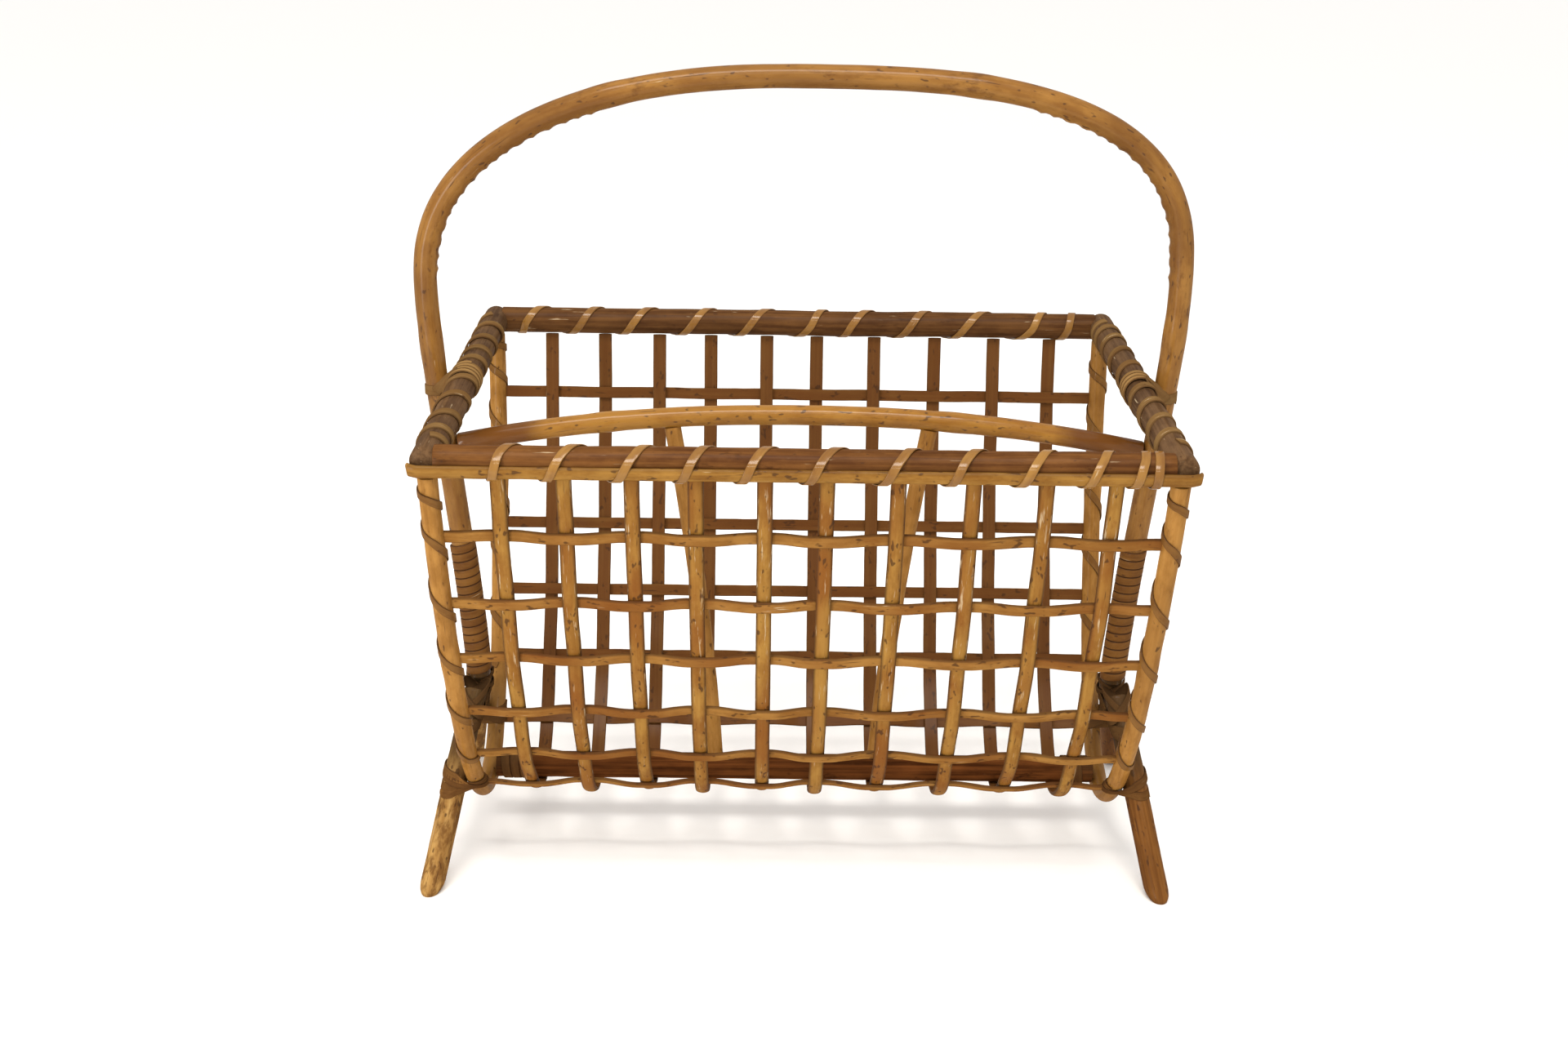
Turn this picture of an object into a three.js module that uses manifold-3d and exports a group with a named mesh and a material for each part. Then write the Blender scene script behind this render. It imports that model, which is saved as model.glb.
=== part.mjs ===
import * as THREE from "three";
import { mergeVertices } from "three/addons/utils/BufferGeometryUtils.js";
import Module from "manifold-3d";

const wasm = await Module();
wasm.setup();

// A rattan magazine basket: a trough of bent and straight poles, woven with split cane and bound
// with cane lashings, on four splayed legs, with a hoop handle and a divider along the middle.
// X runs along the basket, Y from front to back, Z up from the floor. Sizes are in millimetres.

// The trough
const rimLength = 400; // between the centre lines of the end rails
const rimDepth = 281; // between the centre lines of the front and back rails
const basketDrop = 265; // from the rim's centre lines down to the middle of the weave's bottom
const floorGap = 30; // from there down to the floor
const sidePower = 1.25; // how far down the sides stay nearly straight before they close
const endInset = 4; // how far each end frame leans in at the bottom
const clearance = 0.3; // between pieces that touch

// Poles
const railDiameter = 16.5;
const railOverhang = 5.5; // the end rails run past the front and back rails' centre lines
const keelDiameter = 16.5;
const frameDiameter = 11;
const frameTopGap = 1.1; // its slanting end below the end rail
const frameSteps = 44;
const poleSides = 8;
const railSides = 12;

// Half-round strips along the outside of the front and back rails
const stripWidth = 8;
const stripThickness = 3.5;
const stripTurn = THREE.MathUtils.degToRad(24); // below the rail's outermost line
const stripSpread = THREE.MathUtils.degToRad(75); // how far round a lashing stands off beside it

// Woven stakes, which run from the front rail under the keel to the back rail
const stakeWidth = 8.6;
const stakeThickness = 3;
const stakeBend = 0.8; // how far a stake gives way at each crossing
const stakeBottomSteps = 8;
const stakePlaceShares = [-0.815, -0.64, -0.46, -0.29, -0.105, 0.06, 0.25, 0.45, 0.645, 0.83];

// Weavers, which run along the basket over and under the stakes
const weaverWidth = 7.4;
const weaverThickness = 2;
const weaverDropShares = [0.177, 0.343, 0.493, 0.648, 0.794, 0.921];
const crossingEase = 1; // straight length kept beyond each edge of a crossing piece

// The hoop handle
const handleDiameter = 13.5;
const handleRise = 182; // top centre line above the rim
const shoulderRise = 60; // widest place above the rim
const hoopBulge = 3; // how much wider the shoulders are than the hoop at the rim
const hoopPowerLeft = 2.28; // squareness of the hoop's top on its left side
const hoopPowerRight = 2.85; // and on its right side, which is bent more sharply
const hoopLean = 0.5; // room for the hoop's slope where it passes the end rails
const handleFootInset = 1; // the hoop's feet from the end rails' centre lines
const hoopSteps = 52;
const hoopTopPoints = 24;
const hoopSidePoints = 6;
const hoopBendShares = [0.22, 0.64]; // where the side curve's two guides lie along its height
const hoopGuideShare = 0.19; // how far the lower guide stays out, of the side's whole lean

// The divider
const archDiameter = 12;
const archDrop = 18.5; // centre of the arch below the rim
const archFall = 19; // its ends below its middle
const archPower = 2.2;
const archSteps = 24;
const strutDiameter = 10;
const strutTopPlace = 77;
const strutMiddlePlace = 61;
const strutFootPlace = 51;
const strutSteps = 8;

// Legs
const legDiameter = 14.5;
const footDistance = 180; // between front and back feet, at the floor
const footOverhang = 11; // how far a foot stands out from where its leg crosses the frame
const legHeadPlace = 12; // heads of the legs in front of and behind the middle
const legHeadRise = 68; // heads of the legs above the middle of the weave's bottom
const legSides = 14;

// Cane lashings
const caneThickness = 0.8;
const rimCaneWidth = 5.3;
const postCaneWidth = 4.4;
const wrapCaneWidth = 5.2;
const longRimTurns = 11;
const endRimTurns = 9;
const railTurnSteps = 10;
const poleTurnSteps = 8;
const postTurns = 5.5;
const postLashingStart = 17;
const postLashingEnd = 222;
const handleWrapTop = 98; // first turn below the rim
const handleWrapPitch = 6;
const tieTurns = 2;
const tiePitch = 6;
const tieHeightShare = 1.25; // of a slanting cut through the rail
const keelTurns = 2;
const keelPitch = 6;
const legTieTurns = 2;
const legTiePitch = 5.8;
const headLashingTurns = 2;
const headLashingPitch = 6;
const headLashingDepth = 14; // its middle below the tops of the legs
const headLashingWidthShare = 1.65; // of a leg
const headLashingReachShare = 1.2; // of the two legs' reach
const legTieWidthShare = 1.74; // of a level cut through the leg

const rimHeight = basketDrop + floorGap;
const railRadius = railDiameter / 2;
const keelRadius = keelDiameter / 2;
const frameRadius = frameDiameter / 2;
const handleRadius = handleDiameter / 2;
const archRadius = archDiameter / 2;
const strutRadius = strutDiameter / 2;
const legRadius = legDiameter / 2;
const keelDrop = basketDrop - stakeThickness / 2 - clearance - keelRadius;
const crossingShift = (stakeThickness + weaverThickness) / 2 + clearance - stakeBend;
const postCaneReach = windingReach(frameRadius, poleTurnSteps);
const railCaneReach = windingReach(railRadius, railTurnSteps);
const handleAtRim = rimLength / 2 + railCaneReach + hoopLean + handleRadius;

const honeyRattan = new THREE.MeshStandardMaterial({ color: 0xb9823f, roughness: 0.45, metalness: 0 });
const darkPole = new THREE.MeshStandardMaterial({ color: 0x6a432b, roughness: 0.6, metalness: 0 });
const splitCane = new THREE.MeshStandardMaterial({ color: 0xb27a3c, roughness: 0.5, metalness: 0 });
const shadedCane = new THREE.MeshStandardMaterial({ color: 0x85552c, roughness: 0.55, metalness: 0 });
const brightCane = new THREE.MeshStandardMaterial({ color: 0xcf9a55, roughness: 0.35, metalness: 0 });
const agedCane = new THREE.MeshStandardMaterial({ color: 0x85684a, roughness: 0.65, metalness: 0 });
const wornPole = new THREE.MeshStandardMaterial({ color: 0x9a6a38, roughness: 0.6, metalness: 0 });

const basket = new THREE.Group();

function addPiece(name, geometry, material) {
  const piece = new THREE.Mesh(geometry, material);
  piece.name = name;
  basket.add(piece);
  return piece;
}

// The trough's side view: half its depth at a drop below the rim, which closes in a round bottom.
function halfDepthAt(drop) {
  return (rimDepth / 2) * Math.sqrt(1 - (drop / basketDrop) ** sidePower);
}

function endPlaceAt(drop) {
  return rimLength / 2 - (endInset * drop) / basketDrop;
}

// A leaning half of that side view's curve is traced by an angle: 90 degrees at the rim, 0 below.
function sideAngleAt(drop) {
  return Math.acos((drop / basketDrop) ** (sidePower / 2));
}

class TroughCurve extends THREE.Curve {
  // From the front, at startDrop below the rim, round the bottom and up to the back.
  constructor(startDrop, placeAt) {
    super();
    this.reach = sideAngleAt(startDrop);
    this.placeAt = placeAt;
  }
  getPoint(t, target = new THREE.Vector3()) {
    const angle = this.reach * (2 * t - 1);
    const drop = basketDrop * Math.cos(angle) ** (2 / sidePower);
    return target.set(this.placeAt(drop), (rimDepth / 2) * Math.sin(angle), rimHeight - drop);
  }
}

// The last value between low and high at which a condition holds, if it holds at low and not at high.
function lastWhere(low, high, holds) {
  let middle = (low + high) / 2;
  while (middle !== low && middle !== high) {
    if (holds(middle)) low = middle;
    else high = middle;
    middle = (low + high) / 2;
  }
  return low;
}

// The share of a curve's length at which it first comes down to a drop below the rim.
function lengthShareAt(curve, drop) {
  return lastWhere(0, 1 / 2, (share) => rimHeight - curve.getPointAt(share).z < drop);
}

function roundSection(radius, sides) {
  const corners = [];
  for (let i = 0; i < sides; i++) {
    const angle = (2 * Math.PI * (i + 1 / 2)) / sides;
    corners.push(new THREE.Vector2(radius * Math.cos(angle), radius * Math.sin(angle)));
  }
  return new THREE.Shape(corners);
}

function bentPole(curve, radius, sides, steps) {
  return new THREE.ExtrudeGeometry(roundSection(radius, sides), {
    steps,
    bevelEnabled: false,
    extrudePath: curve,
  });
}

function straightPole(start, end, radius, sides) {
  return bentPole(new THREE.LineCurve3(start, end), radius, sides, 1);
}

function solidOf(geometry) {
  const bare = geometry.clone();
  bare.deleteAttribute("normal");
  bare.deleteAttribute("uv");
  const merged = mergeVertices(bare);
  const vertProperties = merged.attributes.position.array;
  const triVerts = new Uint32Array(merged.index.array);
  return new wasm.Manifold(new wasm.Mesh({ numProp: 3, vertProperties, triVerts }));
}

function cutFrom(geometry, cutter) {
  const mesh = solidOf(geometry).subtract(solidOf(cutter)).getMesh();
  const cut = new THREE.BufferGeometry();
  cut.setAttribute("position", new THREE.BufferAttribute(mesh.vertProperties, 3));
  cut.setIndex(new THREE.BufferAttribute(mesh.triVerts, 1));
  return cut;
}

// A closed band through rings of four corners each: the inner face's first two, then the outer's. Both
// faces of a stretch are split along the diagonal that stands further out, so the band stays as thick.
function bandThrough(rings) {
  const corners = rings.flat();
  const positions = new Float32Array(corners.flatMap((corner) => corner.toArray()));
  const sides = rings[0].length;
  const last = sides * (rings.length - 1);
  const index = [0, 2, 1, 0, 3, 2, last, last + 1, last + 2, last, last + 2, last + 3];
  for (let ring = 0; ring < rings.length - 1; ring++) {
    const [near, far, , outerNear] = rings[ring];
    const [nextNear, nextFar] = rings[ring + 1];
    const step = near.clone().add(nextFar).sub(far).sub(nextNear);
    const nearStandsOut = step.dot(outerNear.clone().sub(near)) > 0;
    for (let side = 0; side < sides; side++) {
      const a = ring * sides + side;
      const b = ring * sides + ((side + 1) % sides);
      const isOuter = side === sides / 2;
      if (nearStandsOut !== isOuter) index.push(a, b, b + sides, a, b + sides, a + sides);
      else index.push(a, b, a + sides, b, b + sides, a + sides);
    }
  }
  const band = new THREE.BufferGeometry();
  band.setAttribute("position", new THREE.BufferAttribute(positions, 3));
  band.setIndex(index);
  return band;
}

// How far out from a pole's centre line a band wound on it comes, with the clearance outside it.
function windingReach(radius, turnSteps) {
  return (radius + clearance) / Math.cos(Math.PI / turnSteps) + caneThickness + 2 * clearance;
}

// The half width of a band's middle line where it goes round a pole of a given radius.
function windingHalf(radius, turnSteps) {
  return (radius + clearance) / Math.cos(Math.PI / turnSteps) + caneThickness / 2;
}

// A flat cane wound round a curve as one unbroken band. Its turns are ovals with the half widths
// outHalf, along the direction out, and sideHalf across it. It winds as a right-hand screw, or as a
// left-hand one if hand is -1. bulge widens a turn at some angles, and drift slides the two ends of
// each oval apart where it goes round two poles that cross.
function winding(name, material, options) {
  const { curve, from = 0, to = 1, turns, turnSteps, out, outHalf, sideHalf = outHalf, width } = options;
  const { bulge = () => 0, drift = 0, startTurn = 0, hand = 1 } = options;
  const steps = Math.round(turns * turnSteps);
  const curveLength = curve.getLength();
  const centres = [];
  const faces = [];
  for (let i = 0; i <= steps; i++) {
    const along = from + ((to - from) * i) / steps;
    const tangent = curve.getTangentAt(along);
    const outward = out.clone().addScaledVector(tangent, -out.dot(tangent)).normalize();
    const sideways = tangent.clone().cross(outward).multiplyScalar(hand);
    const angle = 2 * Math.PI * (startTurn + i / turnSteps);
    const extra = bulge(angle);
    const slide = drift * curveLength * (along - (from + to) / 2) * Math.cos(angle);
    const centre = curve.getPointAt(along);
    centre.addScaledVector(outward, (outHalf + extra) * Math.cos(angle));
    centre.addScaledVector(sideways, (sideHalf + extra) * Math.sin(angle) + slide);
    centres.push(centre);
    const face = outward.multiplyScalar(sideHalf * Math.cos(angle));
    faces.push(face.addScaledVector(sideways, outHalf * Math.sin(angle)).normalize());
  }
  const rings = centres.map((centre, i) => {
    const travel = centres[Math.min(i + 1, steps)].clone().sub(centres[Math.max(i - 1, 0)]).normalize();
    const face = faces[i].addScaledVector(travel, -faces[i].dot(travel)).normalize();
    const across = face.clone().cross(travel);
    return [[-1, -1], [1, -1], [1, 1], [-1, 1]].map(([wide, thick]) =>
      centre
        .clone()
        .addScaledVector(across, (wide * width) / 2)
        .addScaledVector(face, (thick * caneThickness) / 2),
    );
  });
  console.log(`${name}: least gap between its turns ${leastGap(rings, turnSteps).toFixed(2)} mm`);
  return addPiece(name, bandThrough(rings), material);
}

// The least distance between corners that lie at least half a turn apart along a band.
function leastGap(rings, turnSteps) {
  let least = Infinity;
  for (let i = 0; i < rings.length; i++) {
    for (let j = i + Math.ceil(turnSteps / 2); j < rings.length; j++) {
      for (const corner of rings[i]) {
        for (const other of rings[j]) least = Math.min(least, corner.distanceTo(other));
      }
    }
  }
  return least;
}

function makeRails() {
  const butt = rimLength / 2 - railRadius - clearance;
  const overhang = rimDepth / 2 + railOverhang;
  for (const [name, side] of [["front", -1], ["back", 1]]) {
    const y = (side * rimDepth) / 2;
    const start = new THREE.Vector3(-butt, y, rimHeight);
    const end = new THREE.Vector3(butt, y, rimHeight);
    addPiece(`${name}_top_rail`, straightPole(start, end, railRadius, railSides), darkPole);
    makeRimStrip(`${name}_rim_strip`, side);
  }
  for (const [name, side] of [["left", -1], ["right", 1]]) {
    const x = (side * rimLength) / 2;
    const start = new THREE.Vector3(x, -overhang, rimHeight);
    const end = new THREE.Vector3(x, overhang, rimHeight);
    addPiece(`${name}_top_rail`, straightPole(start, end, railRadius, railSides), darkPole);
  }
}

// A half-round strip lies against the outer lower side of a rail and covers the end rails' ends.
function makeRimStrip(name, side) {
  const half = rimLength / 2 + railRadius;
  const base = railRadius + clearance;
  const crown = [
    new THREE.Vector2(base, -stripWidth / 2),
    new THREE.Vector2(base + stripThickness * Math.SQRT1_2, -(stripWidth / 2) * Math.SQRT1_2),
    new THREE.Vector2(base + stripThickness, 0),
    new THREE.Vector2(base + stripThickness * Math.SQRT1_2, (stripWidth / 2) * Math.SQRT1_2),
    new THREE.Vector2(base, stripWidth / 2),
  ];
  const geometry = new THREE.ExtrudeGeometry(new THREE.Shape(crown), {
    steps: 1,
    depth: 2 * half,
    bevelEnabled: false,
  });
  geometry.translate(0, 0, -half);
  const outward = new THREE.Vector3(0, side * Math.cos(stripTurn), -Math.sin(stripTurn));
  const along = new THREE.Vector3(side, 0, 0);
  const upward = along.clone().cross(outward);
  const strip = addPiece(name, geometry, splitCane);
  strip.setRotationFromMatrix(new THREE.Matrix4().makeBasis(outward, upward, along));
  strip.position.set(0, (side * rimDepth) / 2, rimHeight);
}

function makeEndFrames() {
  const top = railRadius + frameTopGap;
  for (const [name, side] of [["left", -1], ["right", 1]]) {
    const curve = new TroughCurve(top, (drop) => side * endPlaceAt(drop));
    addPiece(`${name}_end_frame`, bentPole(curve, frameRadius, poleSides, frameSteps), honeyRattan);
    const across = new THREE.Vector3(side, 0, 0);
    const from = lengthShareAt(curve, postLashingStart);
    const to = lengthShareAt(curve, postLashingEnd);
    for (const [panel, ends] of [["front", [from, to]], ["back", [1 - from, 1 - to]]]) {
      winding(`${panel}_${name}_post_lashing`, brightCane, {
        curve,
        from: ends[0],
        to: ends[1],
        turns: postTurns,
        turnSteps: poleTurnSteps,
        out: across,
        outHalf: windingHalf(frameRadius, poleTurnSteps),
        width: postCaneWidth,
        hand: -1,
      });
    }
  }
}

function makeKeel() {
  const reach = endPlaceAt(keelDrop) - frameRadius - clearance;
  const height = rimHeight - keelDrop;
  const start = new THREE.Vector3(-reach, 0, height);
  const end = new THREE.Vector3(reach, 0, height);
  addPiece("keel_pole", straightPole(start, end, keelRadius, railSides), darkPole);
  for (const [name, side] of [["left", -1], ["right", 1]]) {
    const near = side * (reach - wrapCaneWidth);
    const far = side * (reach - wrapCaneWidth - keelTurns * keelPitch);
    winding(`${name}_keel_lashing`, agedCane, {
      curve: new THREE.LineCurve3(new THREE.Vector3(near, 0, height), new THREE.Vector3(far, 0, height)),
      turns: keelTurns,
      turnSteps: railTurnSteps,
      out: new THREE.Vector3(0, 0, 1),
      outHalf: windingHalf(keelRadius, railTurnSteps),
      width: wrapCaneWidth,
    });
  }
}

// The hoop's side runs from its shoulder down past the end rail to its foot inside the end frame.
function hoopSide(side, footHeight) {
  const shoulder = handleAtRim + hoopBulge;
  const foot = rimLength / 2 - handleFootInset;
  const top = rimHeight + shoulderRise;
  const fall = top - footHeight;
  const lean = shoulder - foot;
  const place = (x, z) => new THREE.Vector3(side * x, 0, z);
  return new THREE.CubicBezierCurve3(
    place(shoulder, top),
    place(shoulder, top - hoopBendShares[0] * fall),
    place(foot + hoopGuideShare * lean, top - hoopBendShares[1] * fall),
    place(foot, footHeight),
  );
}

function makeHandle(footHeight) {
  const shoulder = handleAtRim + hoopBulge;
  const rise = handleRise - shoulderRise;
  const points = hoopSide(-1, footHeight).getSpacedPoints(hoopSidePoints).reverse();
  for (let i = 1; i < hoopTopPoints; i++) {
    const angle = Math.PI * (1 - i / hoopTopPoints);
    const power = Math.cos(angle) < 0 ? hoopPowerLeft : hoopPowerRight;
    const out = Math.sign(Math.cos(angle)) * Math.abs(Math.cos(angle)) ** (2 / power);
    const up = Math.sin(angle) ** (2 / power);
    points.push(new THREE.Vector3(shoulder * out, 0, rimHeight + shoulderRise + rise * up));
  }
  points.push(...hoopSide(1, footHeight).getSpacedPoints(hoopSidePoints));
  const curve = new THREE.CatmullRomCurve3(points);
  addPiece("handle_hoop", bentPole(curve, handleRadius, poleSides, hoopSteps), honeyRattan);
  for (const [name, side] of [["left", -1], ["right", 1]]) {
    makeHandleWrap(name, side, footHeight);
    makeHandleTie(name, side);
  }
}

// Close turns of cane cover the hoop's lower end.
function makeHandleWrap(name, side, footHeight) {
  const curve = hoopSide(side, footHeight);
  const length = rimHeight - handleWrapTop - footHeight - wrapCaneWidth;
  const turns = length / handleWrapPitch;
  const whole = curve.getLength();
  winding(`${name}_handle_wrap`, brightCane, {
    curve,
    from: 1 - (length + wrapCaneWidth / 2) / whole,
    to: 1 - wrapCaneWidth / 2 / whole,
    turns,
    turnSteps: poleTurnSteps,
    out: new THREE.Vector3(0, 1, 0),
    outHalf: windingHalf(handleRadius, poleTurnSteps),
    width: wrapCaneWidth,
  });
}

// A slanting lashing goes round the end rail and the hoop where they cross.
function makeHandleTie(name, side) {
  const inner = rimLength / 2 - railCaneReach;
  const outer = handleAtRim + handleRadius + clearance;
  const middle = new THREE.Vector3((side * (inner + outer)) / 2, 0, rimHeight);
  const reach = (tieTurns * tiePitch) / 2;
  const slant = new THREE.Vector3(0, Math.SQRT1_2, -Math.SQRT1_2).multiplyScalar(reach);
  winding(`${name}_handle_tie`, brightCane, {
    curve: new THREE.LineCurve3(middle.clone().sub(slant), middle.clone().add(slant)),
    turns: tieTurns,
    turnSteps: railTurnSteps,
    out: new THREE.Vector3(side, 0, 0),
    outHalf: windingHalf((outer - inner) / 2 + 2 * clearance, railTurnSteps),
    sideHalf: windingHalf(tieHeightShare * railCaneReach * Math.SQRT2, railTurnSteps),
    width: wrapCaneWidth,
    drift: side,
  });
}

function archHeightAt(x) {
  const share = Math.abs(x) / (rimLength / 2);
  return rimHeight - archDrop - archFall * share ** archPower;
}

// The hoop's centre line out from the middle, at a height.
function hoopPlaceAt(height, footHeight) {
  const curve = hoopSide(1, footHeight);
  return curve.getPoint(lastWhere(0, 1, (share) => curve.getPoint(share).z > height)).x;
}

// The divider: a shallow arch between the hoop's sides, on two bent struts that stand on the keel.
function makeDivider(footHeight) {
  const lowEdge = archHeightAt(rimLength / 2) - archRadius;
  const reach = hoopPlaceAt(lowEdge, footHeight) - handleRadius - 2 * clearance;
  const arch = new THREE.CylinderGeometry(archRadius, archRadius, 2 * reach, poleSides, archSteps);
  arch.rotateZ(Math.PI / 2);
  moveEachPoint(arch, (point) => point.setZ(point.z + archHeightAt(point.x)));
  addPiece("divider_arch", arch, honeyRattan);

  const foot = rimHeight - keelDrop + keelRadius + clearance;
  for (const [name, side] of [["left", -1], ["right", 1]]) {
    const top = archHeightAt(strutTopPlace + strutRadius) - archRadius - clearance;
    const height = top - foot;
    const strut = new THREE.CylinderGeometry(strutRadius, strutRadius, height, poleSides, strutSteps);
    strut.rotateX(Math.PI / 2);
    strut.translate(0, 0, foot + height / 2);
    const bend = new THREE.QuadraticBezierCurve(
      new THREE.Vector2(strutFootPlace, foot),
      new THREE.Vector2(2 * strutMiddlePlace - (strutTopPlace + strutFootPlace) / 2, (foot + top) / 2),
      new THREE.Vector2(strutTopPlace, top),
    );
    moveEachPoint(strut, (point) => point.setX(point.x + side * bend.getPoint((point.z - foot) / height).x));
    addPiece(`${name}_divider_strut`, strut, honeyRattan);
  }
}

function moveEachPoint(geometry, move) {
  const places = geometry.attributes.position;
  const point = new THREE.Vector3();
  for (let i = 0; i < places.count; i++) {
    move(point.fromBufferAttribute(places, i));
    places.setXYZ(i, point.x, point.y, point.z);
  }
}

// A flat outline of a bent strip: its middle line's points, each with the way its thickness faces.
function stripOutline(points, facings, thickness) {
  const outer = points.map((point, i) => point.clone().addScaledVector(facings[i], thickness / 2));
  const inner = points.map((point, i) => point.clone().addScaledVector(facings[i], -thickness / 2));
  return new THREE.Shape([...outer, ...inner.reverse()]);
}

function stakeIsInside(panel, weaver, stake) {
  return (weaver + stake + (panel === "front" ? 1 : 0)) % 2 === 0;
}

function makeStakes() {
  const curve = new TroughCurve(railCaneReach + 2 * clearance, () => 0);
  const crossings = weaverDropShares.map((share) => lengthShareAt(curve, share * basketDrop));
  const ease = (weaverWidth / 2 + crossingEase) / curve.getLength();
  stakePlaceShares.forEach((placeShare, stake) => {
    const stations = [[0, 0]];
    crossings.forEach((crossing, weaver) => {
      const bend = stakeIsInside("front", weaver, stake) ? -stakeBend : stakeBend;
      stations.push([crossing - ease, bend], [crossing + ease, bend]);
    });
    const lowest = crossings.at(-1) + ease;
    for (let i = 1; i < stakeBottomSteps; i++) {
      stations.push([lowest + ((1 - 2 * lowest) * i) / stakeBottomSteps, 0]);
    }
    crossings.toReversed().forEach((crossing, i) => {
      const weaver = crossings.length - 1 - i;
      const bend = stakeIsInside("back", weaver, stake) ? -stakeBend : stakeBend;
      stations.push([1 - crossing - ease, bend], [1 - crossing + ease, bend]);
    });
    stations.push([1, 0]);

    const facings = stations.map(([share]) => {
      const tangent = curve.getTangentAt(share);
      return new THREE.Vector2(tangent.z, -tangent.y);
    });
    const points = stations.map(([share, bend], i) => {
      const point = curve.getPointAt(share);
      return new THREE.Vector2(point.y, point.z).addScaledVector(facings[i], bend);
    });
    const geometry = new THREE.ExtrudeGeometry(stripOutline(points, facings, stakeThickness), {
      steps: 1,
      depth: stakeWidth,
      bevelEnabled: false,
    });
    geometry.translate(0, 0, -stakeWidth / 2);
    const number = String(stake + 1).padStart(2, "0");
    const strip = addPiece(`stake_${number}`, geometry, splitCane);
    const along = new THREE.Vector3(1, 0, 0);
    const back = new THREE.Vector3(0, 1, 0);
    const up = new THREE.Vector3(0, 0, 1);
    strip.setRotationFromMatrix(new THREE.Matrix4().makeBasis(back, up, along));
    strip.position.set((placeShare * rimLength) / 2, 0, 0);
  });
}

function makeWeavers() {
  const curve = new TroughCurve(0, () => 0);
  const ease = stakeWidth / 2 + crossingEase;
  for (const panel of ["front", "back"]) {
    weaverDropShares.forEach((dropShare, weaver) => {
      const drop = dropShare * basketDrop;
      const share = lengthShareAt(curve, drop);
      const middle = curve.getPointAt(panel === "front" ? share : 1 - share);
      const tangent = curve.getTangentAt(panel === "front" ? share : 1 - share);
      const outward = new THREE.Vector3(0, tangent.z, -tangent.y);
      const along = new THREE.Vector3(1, 0, 0);
      const upward = along.clone().cross(outward);

      const isLowest = weaver === weaverDropShares.length - 1;
      const reach = endPlaceAt(drop) - (isLowest ? legTieReach() : postCaneReach);
      const places = [[-reach, 0]];
      stakePlaceShares.forEach((placeShare, stake) => {
        const x = (placeShare * rimLength) / 2;
        const shift = stakeIsInside(panel, weaver, stake) ? crossingShift : -crossingShift;
        places.push([x - ease, shift], [x + ease, shift]);
      });
      places.push([reach, 0]);
      const points = places.map(([x, shift]) => new THREE.Vector2(x, shift));
      const facings = points.map(() => new THREE.Vector2(0, 1));
      const geometry = new THREE.ExtrudeGeometry(stripOutline(points, facings, weaverThickness), {
        steps: 1,
        depth: weaverWidth,
        bevelEnabled: false,
      });
      geometry.translate(0, 0, -weaverWidth / 2);
      const material = panel === "front" ? splitCane : shadedCane;
      const strip = addPiece(`${panel}_weaver_${weaver + 1}`, geometry, material);
      strip.setRotationFromMatrix(new THREE.Matrix4().makeBasis(along, outward, upward));
      strip.position.copy(middle);
    });
  }
}

// The drop at which a leg, seen from the side, crosses the end frame.
function legCrossingDrop() {
  const footPlace = footDistance / 2;
  const headHeight = floorGap + legHeadRise;
  const legPlaceAt = (height) => footPlace + ((legHeadPlace - footPlace) * height) / headHeight;
  const isAbove = (drop) => halfDepthAt(drop) > legPlaceAt(rimHeight - drop);
  return lastWhere(basketDrop - legHeadRise, basketDrop, isAbove);
}

// A leg's centre line, from its foot on the floor past the end frame to its head near the middle.
function legLine(side, panelSide) {
  const drop = legCrossingDrop();
  const crossing = new THREE.Vector3(
    side * (endPlaceAt(drop) + frameRadius + clearance + legRadius),
    panelSide * halfDepthAt(drop),
    rimHeight - drop,
  );
  const foot = new THREE.Vector3(crossing.x + side * footOverhang, (panelSide * footDistance) / 2, 0);
  const headShare = (footDistance / 2 - legHeadPlace) / (footDistance / 2 - Math.abs(crossing.y));
  const head = foot.clone().lerp(crossing, headShare);
  return { foot, crossing, head, direction: head.clone().sub(foot).normalize() };
}

// How far in from the end frame's centre line the lashing at a leg's crossing comes.
function legTieReach() {
  return frameRadius + windingHalf(0, railTurnSteps) + caneThickness + 2 * clearance + legTieInset();
}

function legTieInset() {
  return ((legTieWidthShare - 1) * legRadius) / 2;
}

function makeLegs() {
  for (const [panel, panelSide] of [["front", -1], ["back", 1]]) {
    for (const [name, side] of [["left", -1], ["right", 1]]) {
      const { foot, head, direction } = legLine(side, panelSide);
      const below = foot.clone().addScaledVector(direction, -legDiameter);
      const pole = straightPole(below, head, legRadius, legSides);
      const floor = new THREE.BoxGeometry(rimLength, rimDepth, 2 * legDiameter);
      floor.translate(foot.x, foot.y, -legDiameter);
      addPiece(`${panel}_${name}_leg`, cutFrom(pole, floor), wornPole);
      makeLegTie(`${panel}_${name}_leg_tie`, side, panelSide);
    }
  }
  for (const [name, side] of [["left", -1], ["right", 1]]) makeHeadLashing(name, side);
}

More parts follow.
